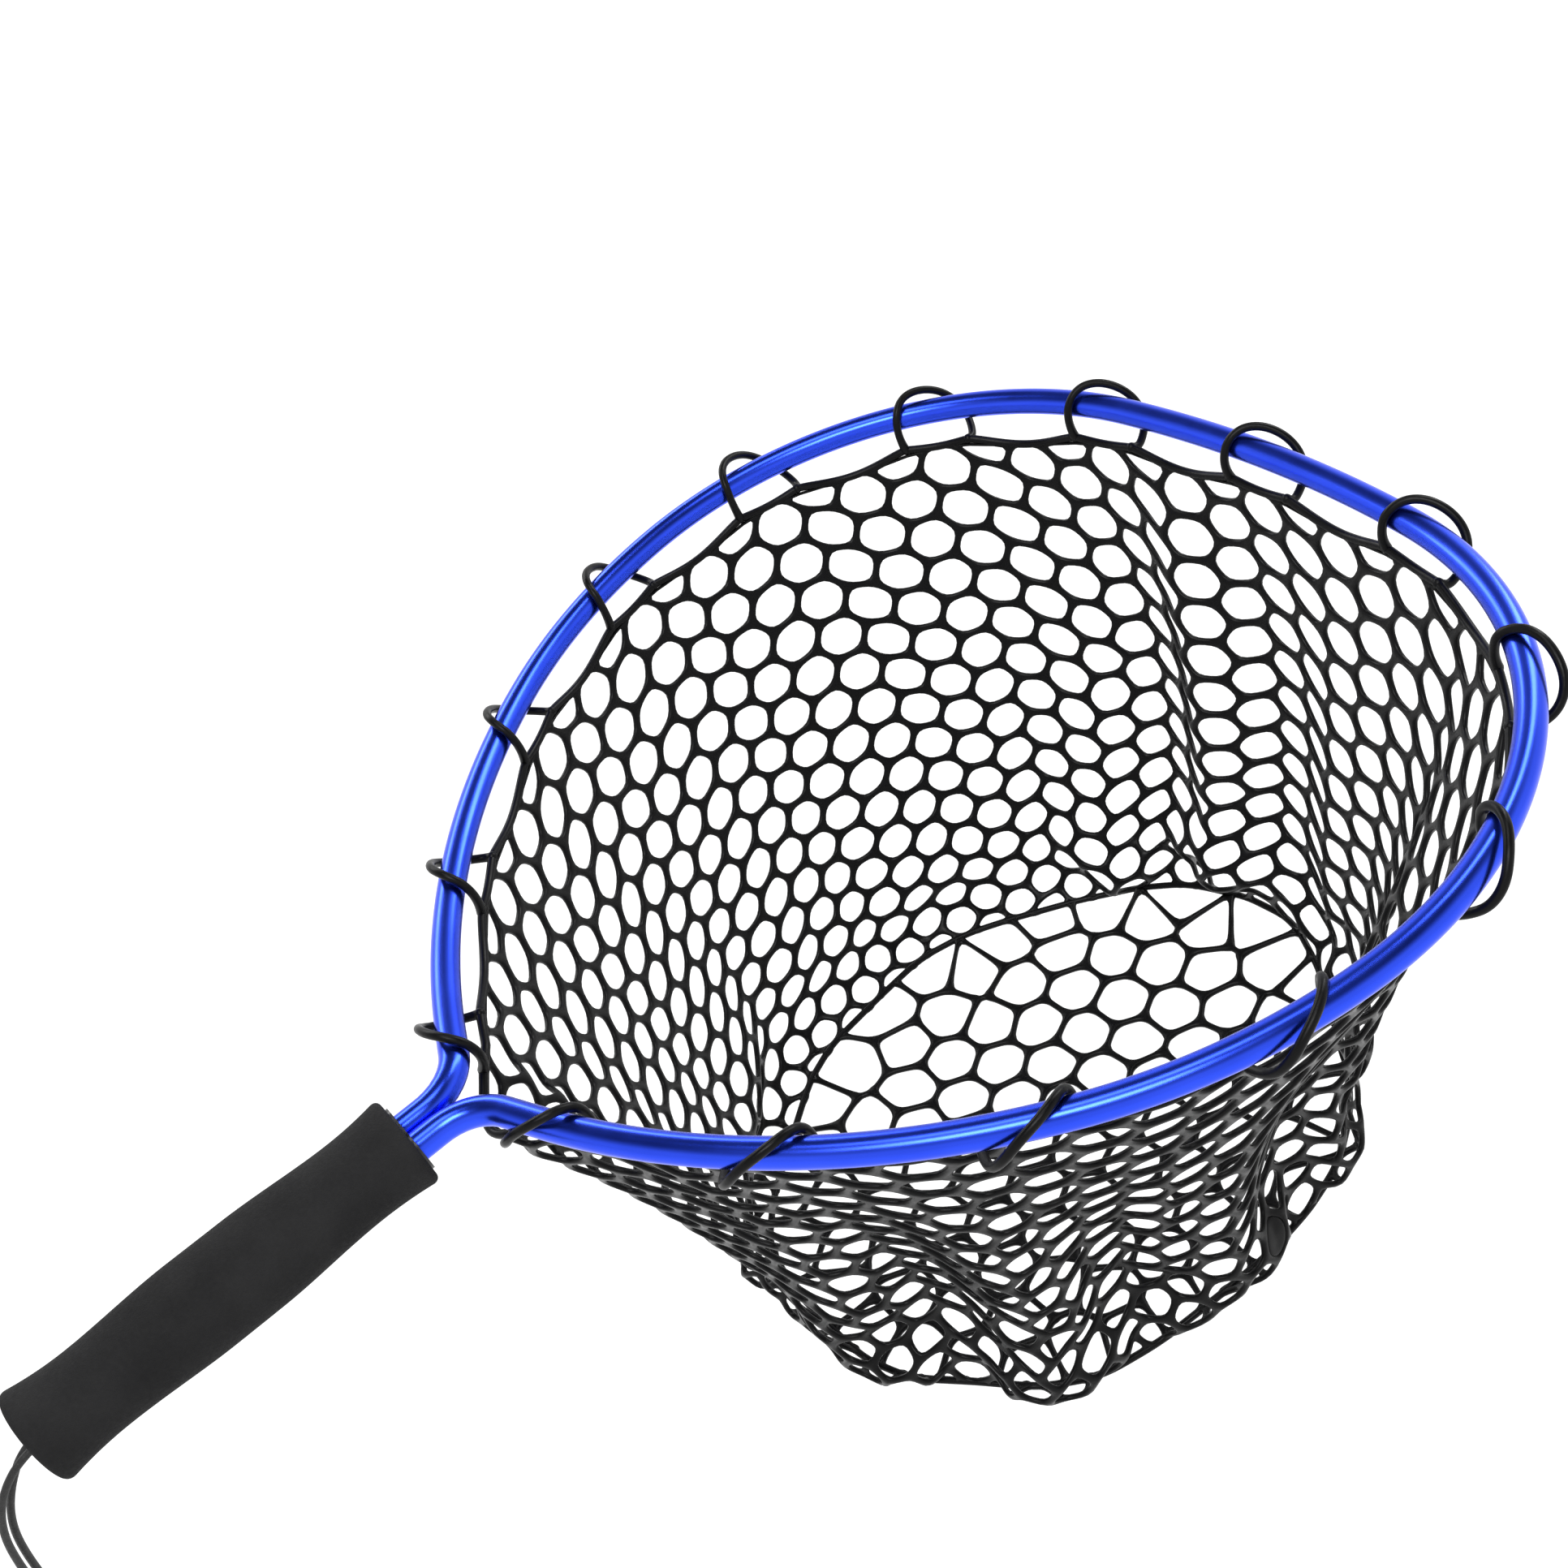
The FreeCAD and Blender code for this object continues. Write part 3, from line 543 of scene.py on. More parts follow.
def oval_reach(half_width, half_height, angle):
    """How far a flat-sided oval reaches from its middle, at an angle from its long axis."""
    flat = half_width - half_height
    across, up = abs(math.cos(angle)), abs(math.sin(angle))
    if up > 1e-9 and half_height / up * across <= flat:
        return half_height / up
    return flat * across + math.sqrt(half_height**2 - (flat * up) ** 2)


def make_grip():
    angles = np.arange(GRIP_SIDES) * 2 * math.pi / GRIP_SIDES
    whole = np.ones(GRIP_SIDES)
    oval = np.array([oval_reach(*COLLAR_SEAT, angle) for angle in angles])
    rear = grip_radius(-GRIP_HALF) - END_ROUND
    front = grip_radius(GRIP_HALF) - END_ROUND
    rings = [(-GRIP_HALF + PLUG_LIP, whole * PLUG_SEAT), (-GRIP_HALF, whole * PLUG_SEAT)]
    for share in (0.35, 0.7):
        rings.append((-GRIP_HALF, whole * (PLUG_SEAT + (rear - PLUG_SEAT) * share)))
    corner = [math.radians(15 * k) for k in range(7)]
    body = [(-GRIP_HALF + END_ROUND * (1 - math.cos(a)), END_ROUND * (1 - math.sin(a))) for a in corner]
    level = GRIP_HALF - END_ROUND - EDGE_MARGIN
    body += [(x, 0.0) for x in np.linspace(-level, level, BARREL_RINGS)]
    body += [(GRIP_HALF - END_ROUND * (1 - math.cos(a)), END_ROUND * (1 - math.sin(a))) for a in corner[::-1]]
    for x, off in body:
        skin = grip_radius(x) - off
        wave = sum(depth * np.sin(n * angles + x * turn + phase) for depth, n, turn, phase in SKIN_WAVES)
        rings.append((x, skin + wave))
    face = rings[-1][1]
    for share in (0.4, 0.8, 1.0):
        rings.append((GRIP_HALF, face * (1 - share) + np.minimum(oval, face - FACE_MARGIN) * share))
    rings.append((GRIP_HALF - COLLAR_LIP, np.minimum(oval, face - FACE_MARGIN)))
    places = []
    for x, reach in rings:
        for angle, radius in zip(angles, reach):
            places.append((x, radius * math.cos(angle), radius * math.sin(angle)))
    faces = []
    for k in range(len(rings) - 1):
        for j in range(GRIP_SIDES):
            after = (j + 1) % GRIP_SIDES
            here, there = k * GRIP_SIDES, (k + 1) * GRIP_SIDES
            faces.append((here + j, there + j, there + after, here + after))
    grip = mesh_object("grip", places, faces, FOAM)
    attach(grip, "net")
    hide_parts("foam_grip")


make_grip()
dress("front_collar", PLASTIC)
dress("butt_plug", PLASTIC)
dress("lanyard_knot", CORD)
dress("tail_pin", PIN)


# ---------------------------------------------------------------------------------------------------
# The net's layout: columns of six-sided cells hanging from the rim
# ---------------------------------------------------------------------------------------------------
COLUMNS = 60
HALF_ROWS = 26
LOOPS = 15
LOOP_FIRST = 44.0
PER_LOOP = COLUMNS // LOOPS
FOOT_COLUMNS = 0.72
FLOOR_CENTRE = 280.0
FLOOR_HALF = (137.0, 117.0)
FLOOR_LEVEL = -221.5
STRAND = 1.6
# The rim hangs between loops by SAG, and less between one loop's feet. SAG_RAISED lifts all of it.
SAG = 4.6
SAG_SHARPNESS = 1.2
FOOT_SAG = 1.4
SAG_RAISED = 2.4
# The rim rides higher round this column, near the tip: column, width in columns, millimetres
TIP_LIFT = (31, 6, 2.0)
# The rim's pull towards the handle behind the neck: width in columns, millimetres back and down
HEEL_PULL = (1.1, 8.0, 3.0)
# The floor's outline is uneven: shrink, waves of (count, phase, depth) and a dent at (bearing, width, depth)
FLOOR_SHRINK = 0.022
FLOOR_WAVES = ((5, 0.7, 0.014), (9, 2.1, 0.010))
FLOOR_DENT = (-0.55, 0.4, 0.05)
# Its edge rises and falls: count, phase, millimetres
FLOOR_RISES = ((4, 1.1, 2.2), (7, 0.0, 1.4))
OUTLINE_POINTS = 2001


def loop_stations():
    """Distances along the hoop's line of the loops' middles."""
    total = lengths_along(HOOP)[-1]
    tail = GRIP_HALF - TAIL_END
    first = tail + LOOP_FIRST
    return np.linspace(first, total - first, LOOPS)


def hoop_point(along):
    place = at_lengths(HOOP, [along])[0]
    ahead = at_lengths(HOOP, [along + 1])[0] - at_lengths(HOOP, [along - 1])[0]
    return place, ahead / np.linalg.norm(ahead)


def rim_stations():
    """Distances along the rim of the columns, four to a loop, with column 0 at the first loop."""
    found = []
    along = lengths_along(RIM)
    for station in loop_stations():
        place, _ = hoop_point(station)
        found.append(along[np.argmin(np.linalg.norm(RIM - place, axis=1))])
    stops = found + [found[0] + RIM_LENGTH]
    return np.interp(np.arange(COLUMNS + 1), np.arange(LOOPS + 1) * PER_LOOP, stops)


RIM_COLUMNS = rim_stations()


def rim_at(column):
    """Places on the rim's strand at columns, which sags between the loops."""
    column = np.asarray(column, float)
    turns = np.floor(column / COLUMNS)
    inside = column - turns * COLUMNS
    along = np.interp(inside, np.arange(COLUMNS + 1), RIM_COLUMNS) % RIM_LENGTH
    flat = at_lengths(RIM, along)
    to_loop = np.abs((column + PER_LOOP / 2) % PER_LOOP - PER_LOOP / 2) / (PER_LOOP / 2)
    foot = FOOT_COLUMNS / (PER_LOOP / 2)
    between = np.clip((to_loop - foot) / (1 - foot), 0, 1)
    within = np.clip(1 - to_loop / foot, 0, 1)
    sag = SAG * np.sin(between * math.pi / 2) ** SAG_SHARPNESS
    sag = sag + FOOT_SAG * np.sin(within * math.pi / 2) - SAG_RAISED
    lift_column, lift_width, lift = TIP_LIFT
    sag -= lift * np.exp(-(((inside - lift_column) / lift_width) ** 2))
    heel_middle = COLUMNS - PER_LOOP / 2
    heel_width, heel_back, heel_down = HEEL_PULL
    heel = np.exp(-(((inside - heel_middle) / heel_width) ** 2))
    flat[:, 0] -= heel_back * heel
    return np.column_stack([flat, -RIM_DROP - sag - heel_down * heel])


def floor_at(share):
    """Places on the floor's edge, evenly along it. Share 0 is behind the neck, on the axis."""
    angles = np.linspace(math.pi, -math.pi, OUTLINE_POINTS)
    ring = np.column_stack([FLOOR_CENTRE + FLOOR_HALF[0] * np.cos(angles), FLOOR_HALF[1] * np.sin(angles)])
    along = lengths_along(ring)
    flat = at_lengths(ring, (np.asarray(share) % 1.0) * along[-1])
    bearing = np.arctan2(flat[:, 1], flat[:, 0] - FLOOR_CENTRE)
    wobble = np.full_like(bearing, 1 - FLOOR_SHRINK)
    for count, phase, depth in FLOOR_WAVES:
        wobble = wobble + depth * np.sin(count * bearing + phase)
    dent_bearing, dent_width, dent = FLOOR_DENT
    wobble -= dent * np.exp(-(((bearing - dent_bearing) / dent_width) ** 2))
    flat = (flat - (FLOOR_CENTRE, 0)) * wobble[:, None] + (FLOOR_CENTRE, 0)
    rise = sum(height * np.sin(count * bearing + phase) for count, phase, height in FLOOR_RISES)
    return np.column_stack([flat, FLOOR_LEVEL + rise])


def rim_share(column):
    """How far round the rim a column is, from 0 behind the neck to 1."""
    column = np.asarray(column, float) % COLUMNS
    return np.interp(column, np.arange(COLUMNS + 1), RIM_COLUMNS) / RIM_LENGTH


# Vertical folds: column, share of the height where it begins, width in columns, depth in millimetres,
# and -1 inwards or 1 outwards
FOLDS = [
    (25.6, -0.3, 1.2, 15.0, -1),
    (21.3, 0.3, 1.3, 12.0, -1),
    (15.5, 0.4, 1.3, 10.0, -1),
    (9.0, 0.5, 1.4, 7.0, 1),
    (31.5, 0.3, 1.3, 8.0, 1),
    (35.5, 0.2, 1.3, 10.0, -1),
    (40.3, 0.15, 1.2, 11.0, -1),
    (43.6, 0.2, 1.2, 7.0, 1),
    (46.8, 0.1, 1.2, 12.0, -1),
    (49.6, 0.25, 1.2, 6.0, 1),
    (52.2, 0.1, 1.3, 12.0, -1),
    (55.4, 0.3, 1.3, 6.0, 1),
    (3.5, 0.4, 1.3, 8.0, -1),
]
SLACK_TOP = 0.015
SLACK_FLOOR = 0.11
# Folds grow until just below the floor and fade at the rim and the floor. They take up some of the
# columns' spacing.
FOLD_END = 1.02
FOLD_POWER = 0.7
FOLD_CROWDING = 0.8
FOLD_FADE_TOP = 8
FOLD_FADE_FLOOR = 6
SPACING_FADE = 4
WAIST_POWER = 0.85
ROW_SHORTENING = 0.13
# How far the wall draws in half way down, in millimetres, by column. Below zero it bulges out.
WAIST_COLUMNS = (0, 6, 12, 22, 28, 33, 37, 41, 46, 54, 60)
WAIST_DEPTHS = (9, 3, -4, -6, -2, 6, 19, 27, 19, 16, 9)


def plain_wall(columns, height):
    """The wall without its folds at one height. It draws in between the rim and the floor."""
    inside = np.asarray(columns, float) % COLUMNS
    top, low = rim_at(inside), floor_at(rim_share(inside))
    places = top * (1 - height) + low * height
    outward = places[:, :2] - (FLOOR_CENTRE, 0)
    outward /= np.linalg.norm(outward, axis=1)[:, None]
    waist = np.interp(inside, WAIST_COLUMNS, WAIST_DEPTHS)
    places[:, :2] -= outward * (waist * math.sin(math.pi * height**WAIST_POWER))[:, None]
    return places, outward


def fold_weight(column, fold):
    middle, _, width, _, _ = fold
    away = (column - middle + COLUMNS / 2) % COLUMNS - COLUMNS / 2
    return np.exp(-((away / width) ** 2))


def grown(begin, height):
    """How much of a fold shows at a height, from 0 above its start to 1."""
    return np.clip((height - begin) / (FOLD_END - begin), 0, 1) ** FOLD_POWER


def slack_at(height):
    """Share by which the wall is cut wider than it needs to be at a height."""
    return SLACK_TOP + (SLACK_FLOOR - SLACK_TOP) * height


def wall_start(columns, height):
    """Where the wall's knots start at one height: the plain wall with its folds pressed in."""
    fine = np.linspace(0, COLUMNS, 1201)
    taken = np.zeros_like(fine)
    for fold in FOLDS:
        taken += fold_weight(fine, fold) * grown(fold[1], height)
    whole = taken.mean() * COLUMNS
    share = min(FOLD_CROWDING / max(taken.max(), 1e-6), slack_at(height) * COLUMNS / max(whole, 1e-6))
    spacing = 1 - taken * share
    spread = np.concatenate([[0], np.cumsum((spacing[1:] + spacing[:-1]) / 2 * np.diff(fine))])
    spread *= COLUMNS / spread[-1]
    fade = np.clip(height * SPACING_FADE, 0, 1)
    inside = columns % COLUMNS
    moved = inside + (np.interp(inside, fine, spread) - inside) * fade
    places, outward = plain_wall(moved, height)
    hold = min(1, FOLD_FADE_TOP * height, FOLD_FADE_FLOOR * (FOLD_END - height))
    push = np.zeros(len(columns))
    for fold in FOLDS:
        push += fold_weight(inside, fold) * grown(fold[1], height) * fold[3] * fold[4] * hold
    places[:, :2] += outward * push[:, None]
    return places


def height_share(half_row):
    """Share of the wall's height at a half row. The rows get shorter towards the floor."""
    t = half_row / HALF_ROWS
    return t * (1 + ROW_SHORTENING - ROW_SHORTENING * t)


def half_row_columns(half_row):
    middles = np.arange(COLUMNS // 2) * 2 + half_row % 2
    return np.column_stack([middles - 1 / 3, middles + 1 / 3]).reshape(-1)


def knot(half_row, index):
    return half_row * COLUMNS + index % COLUMNS


def wall_knots():
    return np.vstack([wall_start(half_row_columns(h), height_share(h)) for h in range(HALF_ROWS + 1)])


def wall_cells():
    """Each cell as its knots in order, with its column and half row."""
    cells = []
    for centre in range(0, HALF_ROWS + 1):
        for column in range(COLUMNS):
            if (column + centre) % 2 == 0:
                continue
            pair, right, left = column // 2 * 2, (column + 1) // 2 * 2, (column - 1) // 2 * 2 + 1
            ring = []
            if centre > 0:
                ring += [knot(centre - 1, pair), knot(centre - 1, pair + 1)]
            ring.append(knot(centre, right))
            if centre < HALF_ROWS:
                ring += [knot(centre + 1, pair + 1), knot(centre + 1, pair)]
            ring.append(knot(centre, left))
            cells.append((ring, column, centre))
    return cells


# ---------------------------------------------------------------------------------------------------
# Settling the wall: its strands keep their length while it sags under its own weight
# ---------------------------------------------------------------------------------------------------
SETTLE_STEPS = 150
SETTLE_ROUNDS = 6
PULL = 0.012
CALM = 0.88
EASE = 1.4
SLANT_SLACK = 1.02
WIDTH_TIE = 0.2
HEIGHT_TIE = 0.25


def settled(places, held, links, lengths, strengths):
    """Knots after they have sagged, with links near their lengths and held knots where they were."""
    places = places.copy()
    fixed = places[held].copy()
    before = places.copy()
    starts, ends = links[:, 0], links[:, 1]
    count = len(places)
    load = np.bincount(starts, minlength=count) + np.bincount(ends, minlength=count)
    ease = EASE / np.maximum(load, 1)
    for _ in range(SETTLE_STEPS):
        drift = (places - before) * CALM
        before = places.copy()
        places += drift
        places[:, 2] -= PULL
        for _ in range(SETTLE_ROUNDS):
            gap = places[ends] - places[starts]
            reach = np.linalg.norm(gap, axis=1)
            push = gap * ((reach - lengths) / reach * 0.5 * strengths)[:, None]
            for axis in range(3):
                total = np.bincount(starts, push[:, axis], count) - np.bincount(ends, push[:, axis], count)
                places[:, axis] += total * ease
            places[held] = fixed
    return places


def column_widths(height):
    """How wide the columns are cut at a height, in millimetres, slack included."""
    ring, _ = plain_wall(np.arange(COLUMNS), height)
    widths = np.linalg.norm(np.roll(ring, -1, axis=0) - ring, axis=1)
    return widths * (1 + slack_at(height))


def wall_links():
    """Strands, and weaker ties across each cell that keep it open: pairs, lengths and strengths."""
    links, lengths, strengths = [], [], []
    columns = [half_row_columns(h) for h in range(HALF_ROWS + 1)]
    widths = [column_widths(height_share(h)) for h in range(HALF_ROWS + 1)]
    every = np.arange(COLUMNS)
    slants = np.linalg.norm(rim_at(every) - floor_at(rim_share(every)), axis=1) * SLANT_SLACK

    def width_at(half_row, column):
        return widths[half_row][int(column) % COLUMNS]

    def fall(half_row, column):
        """Height of a half row along the wall."""
        step = height_share(half_row + 1) - height_share(half_row)
        return step * slants[int(column) % COLUMNS]

    def tie(first, second, length, strength):
        links.append((first, second))
        lengths.append(length)
        strengths.append(strength)

    for h in range(HALF_ROWS + 1):
        for m in range(COLUMNS // 2):
            here = 2 * m
            width = width_at(h, columns[h][here])
            tie(knot(h, here), knot(h, here + 1), width * 2 / 3, 1.0)
            tie(knot(h, here + 1), knot(h, here + 2), width * 4 / 3, WIDTH_TIE)
            if h < HALF_ROWS:
                slope = math.hypot(width / 3, fall(h, columns[h][here]))
                right = here + 2 if h % 2 else here
                left = here + 1 if h % 2 else here - 1
                tie(knot(h, here + 1), knot(h + 1, right), slope, 1.0)
                tie(knot(h, here), knot(h + 1, left), slope, 1.0)
            if h + 2 <= HALF_ROWS:
                drop = fall(h, columns[h][here]) + fall(h + 1, columns[h][here])
                tie(knot(h, here), knot(h + 2, here), drop, HEIGHT_TIE)
                tie(knot(h, here + 1), knot(h + 2, here + 1), drop, HEIGHT_TIE)
    return np.array(links), np.array(lengths), np.array(strengths)


def make_knots():
    knots = wall_knots()
    links, lengths, strengths = wall_links()
    held = np.concatenate([np.arange(COLUMNS), np.arange(COLUMNS) + HALF_ROWS * COLUMNS])
    return settled(knots, held, links, lengths, strengths)


# ---------------------------------------------------------------------------------------------------
# Side wall: strands round cells, and the one filled cell
# ---------------------------------------------------------------------------------------------------
WALL_STRAND = 1.4
WALL_CORNER = 2.15
WALL_THICK = 2.3
HOLE_LIMIT = 0.62
PLATE_REACH = 0.93
PLATE_FLAT = 0.55
PLATE_THICK = 1.9


def web(cells, knots, shares, half_width, corner_reach):
    """A flat mesh with a rounded hole in each cell. Shares are where points go along a cell's sides."""
    places = [np.array(place) for place in knots]
    sides = {}
    faces = []
    for ring in cells:
        outer, reaches = [], []
        for start, end in zip(ring, ring[1:] + ring[:1]):
            key = (min(start, end), max(start, end))
            if key not in sides:
                low, high = places[key[0]], places[key[1]]
                sides[key] = list(range(len(places), len(places) + len(shares)))
                places += [low + (high - low) * share for share in shares]
            outer.append(start)
            outer += sides[key] if start < end else sides[key][::-1]
            reaches += [corner_reach] + [half_width] * len(shares)
        middle = np.mean([places[index] for index in outer], axis=0)
        inner = []
        for index, reach in zip(outer, reaches):
            way = middle - places[index]
            distance = np.linalg.norm(way)
            inner.append(len(places))
            places.append(places[index] + way / distance * min(reach, HOLE_LIMIT * distance))
        for k in range(len(outer)):
            after = (k + 1) % len(outer)
            faces.append((outer[k], outer[after], inner[after], inner[k]))
    return np.array(places), faces


def thickened(piece, thickness, levels):
    """Gives a flat mesh its thickness and rounds its edges, for good."""
    solid = piece.modifiers.new("solid", "SOLIDIFY")
    solid.thickness = thickness * MM
    solid.offset = 0
    smooth = piece.modifiers.new("smooth", "SUBSURF")
    smooth.levels = smooth.render_levels = levels
    graph = bpy.context.evaluated_depsgraph_get()
    made = bpy.data.meshes.new_from_object(piece.evaluated_get(graph))
    piece.modifiers.clear()
    piece.data = made
    made.shade_smooth()


def sags_with_floor(piece):
    """Gives the piece a mesh of its own, not shared with any other object."""
    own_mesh(piece)


KNOTS = make_knots()
CELLS = wall_cells()


def make_wall():
    rings = [ring for ring, _, _ in CELLS]
    places, faces = web(rings, KNOTS, (0.5,), WALL_STRAND, WALL_CORNER)
    wall = mesh_object("net_side", places, faces, RUBBER)
    thickened(wall, WALL_THICK, 1)
    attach(wall, "net")
    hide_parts("net_wall")
    sags_with_floor(wall)


def make_plate():
    """The filled cell nearest to the CAD plate."""
    low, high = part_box("net_plate")
    target = np.array((low + high) / 2) / MM
    rings = [ring for ring, _, _ in CELLS if len(ring) == 6]
    middles = np.array([KNOTS[ring].mean(axis=0) for ring in rings])
    ring = rings[int(np.argmin(np.linalg.norm(middles - target, axis=1)))]
    outline = KNOTS[ring]
    middle = outline.mean(axis=0)
    outer = middle + (outline - middle) * PLATE_REACH
    inner = middle + (outline - middle) * PLATE_FLAT
    places = np.vstack([outer, inner, [middle]])
    count = len(ring)
    faces = []
    for k in range(count):
        after = (k + 1) % count
        faces.append((k, after, count + after, count + k))
        faces.append((count + k, count + after, 2 * count))
    plate = mesh_object("filled_cell", places, faces, RUBBER)
    thickened(plate, PLATE_THICK, 2)
    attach(plate, "net")
    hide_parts("net_plate")
    sags_with_floor(plate)


make_wall()
make_plate()


# ---------------------------------------------------------------------------------------------------
# Floor of the bag: larger cells inside a bounding strand
# ---------------------------------------------------------------------------------------------------
FLOOR_PITCH = 23.5
# Seeds of the floor's cells: the grid's offset, rows and steps each way, spacings as shares of the
# pitch, and how near the edge they may lie
SEED_OFFSET = (3, 2)
SEED_ROWS = 6
SEED_STEPS = 8
SEED_ALONG = 0.98
SEED_ACROSS = 0.87
SEED_LIMIT = 0.93
EVENING_ROUNDS = 2
SEED_SHIFT = 5.0
WELD = 4.2
FLOOR_STRAND = 1.4
FLOOR_CORNER = 2.8
FLOOR_THICK = 2.4
EDGE_STRAND = 1.5
EDGE_STEP = 2.5
FLOOR_SAG = 2.0
# A ripple of its knots: millimetres, then turns per millimetre along and across
FLOOR_RIPPLE = (1.2, 0.05, 0.06)
EDGE_SIDES = 12
EDGE_SOFTENING = 3
SIDE_SHARES = (0.22, 0.5, 0.78)


def clipped(ring, point, way):
    """The part of a polygon on the near side of a line: behind a point, seen along a direction."""
    kept = []
    past = (ring - point) @ way
    for k in range(len(ring)):
        after = (k + 1) % len(ring)
        if past[k] <= 0:
            kept.append(ring[k])
        if (past[k] < 0) != (past[after] < 0) and past[k] != past[after]:
            share = past[k] / (past[k] - past[after])
            kept.append(ring[k] + (ring[after] - ring[k]) * share)
    return np.array(kept)


def ring_middle(ring):
    """The centroid of a polygon."""
    after = np.roll(ring, -1, axis=0)
    cross = ring[:, 0] * after[:, 1] - after[:, 0] * ring[:, 1]
    return ((ring + after) * cross[:, None]).sum(axis=0) / (3 * cross.sum())


def floor_shapes(edge):
    """Even cells that fill the floor's outline. Their seeds drift to the middles of their cells."""
    rng = np.random.default_rng(11)
    seeds = []
    for row in np.arange(-SEED_ROWS, SEED_ROWS + 1):
        for step in np.arange(-SEED_STEPS, SEED_STEPS + 1):
            x = FLOOR_CENTRE + SEED_OFFSET[0] + (step + 0.5 * (row % 2)) * FLOOR_PITCH * SEED_ALONG
            y = SEED_OFFSET[1] + row * FLOOR_PITCH * SEED_ACROSS
            x, y = np.array((x, y)) + rng.uniform(-1, 1, 2) * SEED_SHIFT
            if math.hypot((x - FLOOR_CENTRE) / FLOOR_HALF[0], y / FLOOR_HALF[1]) < SEED_LIMIT:
                seeds.append((x, y))
    seeds = np.array(seeds)
    for turn in range(EVENING_ROUNDS + 1):
        shapes = []
        for k, seed in enumerate(seeds):
            ring = edge
            for j, other in enumerate(seeds):
                if j != k and np.linalg.norm(other - seed) < 4 * FLOOR_PITCH:
                    ring = clipped(ring, (seed + other) / 2, other - seed)
            shapes.append(ring)
        if turn < EVENING_ROUNDS:
            seeds = np.array([ring_middle(ring) for ring in shapes])
    return shapes


def welded(shapes, fixed):
    """Rings of shared knots: points that nearly meet become one. The outline's own points are kept."""
    spots = [tuple(spot) for spot in fixed]
    rings = []
    for shape in shapes:
        ring = []
        for spot in shape:
            away = np.linalg.norm(np.array(spots) - spot, axis=1)
            nearest = int(np.argmin(away))
            if away[nearest] > WELD:
                nearest = len(spots)
                spots.append(tuple(spot))
            if nearest not in ring:
                ring.append(nearest)
        rings.append(ring)
    return np.array(spots), rings


def make_floor():
    edge = KNOTS[HALF_ROWS * COLUMNS :]
    spots, rings = welded(floor_shapes(edge[:, :2]), edge[:, :2])
    out = np.hypot((spots[:, 0] - FLOOR_CENTRE) / FLOOR_HALF[0], spots[:, 1] / FLOOR_HALF[1])
    depth, turn_along, turn_across = FLOOR_RIPPLE
    ripple = depth * np.sin(spots[:, 0] * turn_along) * np.cos(spots[:, 1] * turn_across)
    level = FLOOR_LEVEL - FLOOR_SAG * (1 - out**2) + ripple
    places = np.column_stack([spots, level])
    places[: len(edge)] = edge
    rings = [ring for ring in rings if len(ring) > 2]
    floor_places, faces = web(rings, places, SIDE_SHARES, FLOOR_STRAND, FLOOR_CORNER)
    floor = mesh_object("net_bottom", floor_places, faces, RUBBER)
    thickened(floor, FLOOR_THICK, 1)
    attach(floor, "bag_floor")
    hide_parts("net_floor")
    loop = np.vstack([edge, edge[:1]])
    along = lengths_along(loop)
    count = int(along[-1] / EDGE_STEP)
    line = at_lengths(loop, np.arange(count) * along[-1] / count)
    for _ in range(EDGE_SOFTENING):
        line = (np.roll(line, 1, axis=0) + 2 * line + np.roll(line, -1, axis=0)) / 4
    tube_places, tube_faces = tube_parts(line, EDGE_STRAND, EDGE_SIDES, closed=True)
    strand = mesh_object("net_bottom_edge", tube_places, tube_faces, RUBBER)
    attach(strand, "bag_floor")


make_floor()


# ---------------------------------------------------------------------------------------------------
# Rim strand and loops
# ---------------------------------------------------------------------------------------------------
LOOP_LINE = np.array(
    [
        (-12.8, -8.6, -5.0),
        (-12.4, -6.9, 4.0),
        (-10.6, -0.8, 8.4),
        (-6.0, 5.2, 8.0),
        (0.5, 8.8, 4.4),
        (6.0, 9.8, -1.5),
        (10.2, 6.8, -7.4),
        (12.4, 0.6, -10.6),
        (13.2, -5.0, -12.4),
    ]
)
LOOP_CLEARANCE = 6.75
LOOP_WIDENING = 1.12
# Each loop is pushed a little off the common line, most at its middle
LOOP_SHIFT = (1.4, 0.6, 0.6)
LOOP_SHIFT_GAIN = 1.6
# A loop is thicker at its feet: share of the strand, and reach in points
FOOT_SWELL = 0.25
SWELL_REACH = 2.5
STRAND_SIDES = 14
RIM_STEP = 0.125
BEND_STEPS = 7
FOOT_POINTS = 4
LOOP_SOFTENING = 2


def make_rim():
    columns = np.arange(0, COLUMNS, RIM_STEP)
    line = rim_at(columns)
    places, faces = tube_parts(line, STRAND, STRAND_SIDES, closed=True)
    rim = mesh_object("net_rim_strand", places, faces, RUBBER)
    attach(rim, "net")
    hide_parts("net_rim")


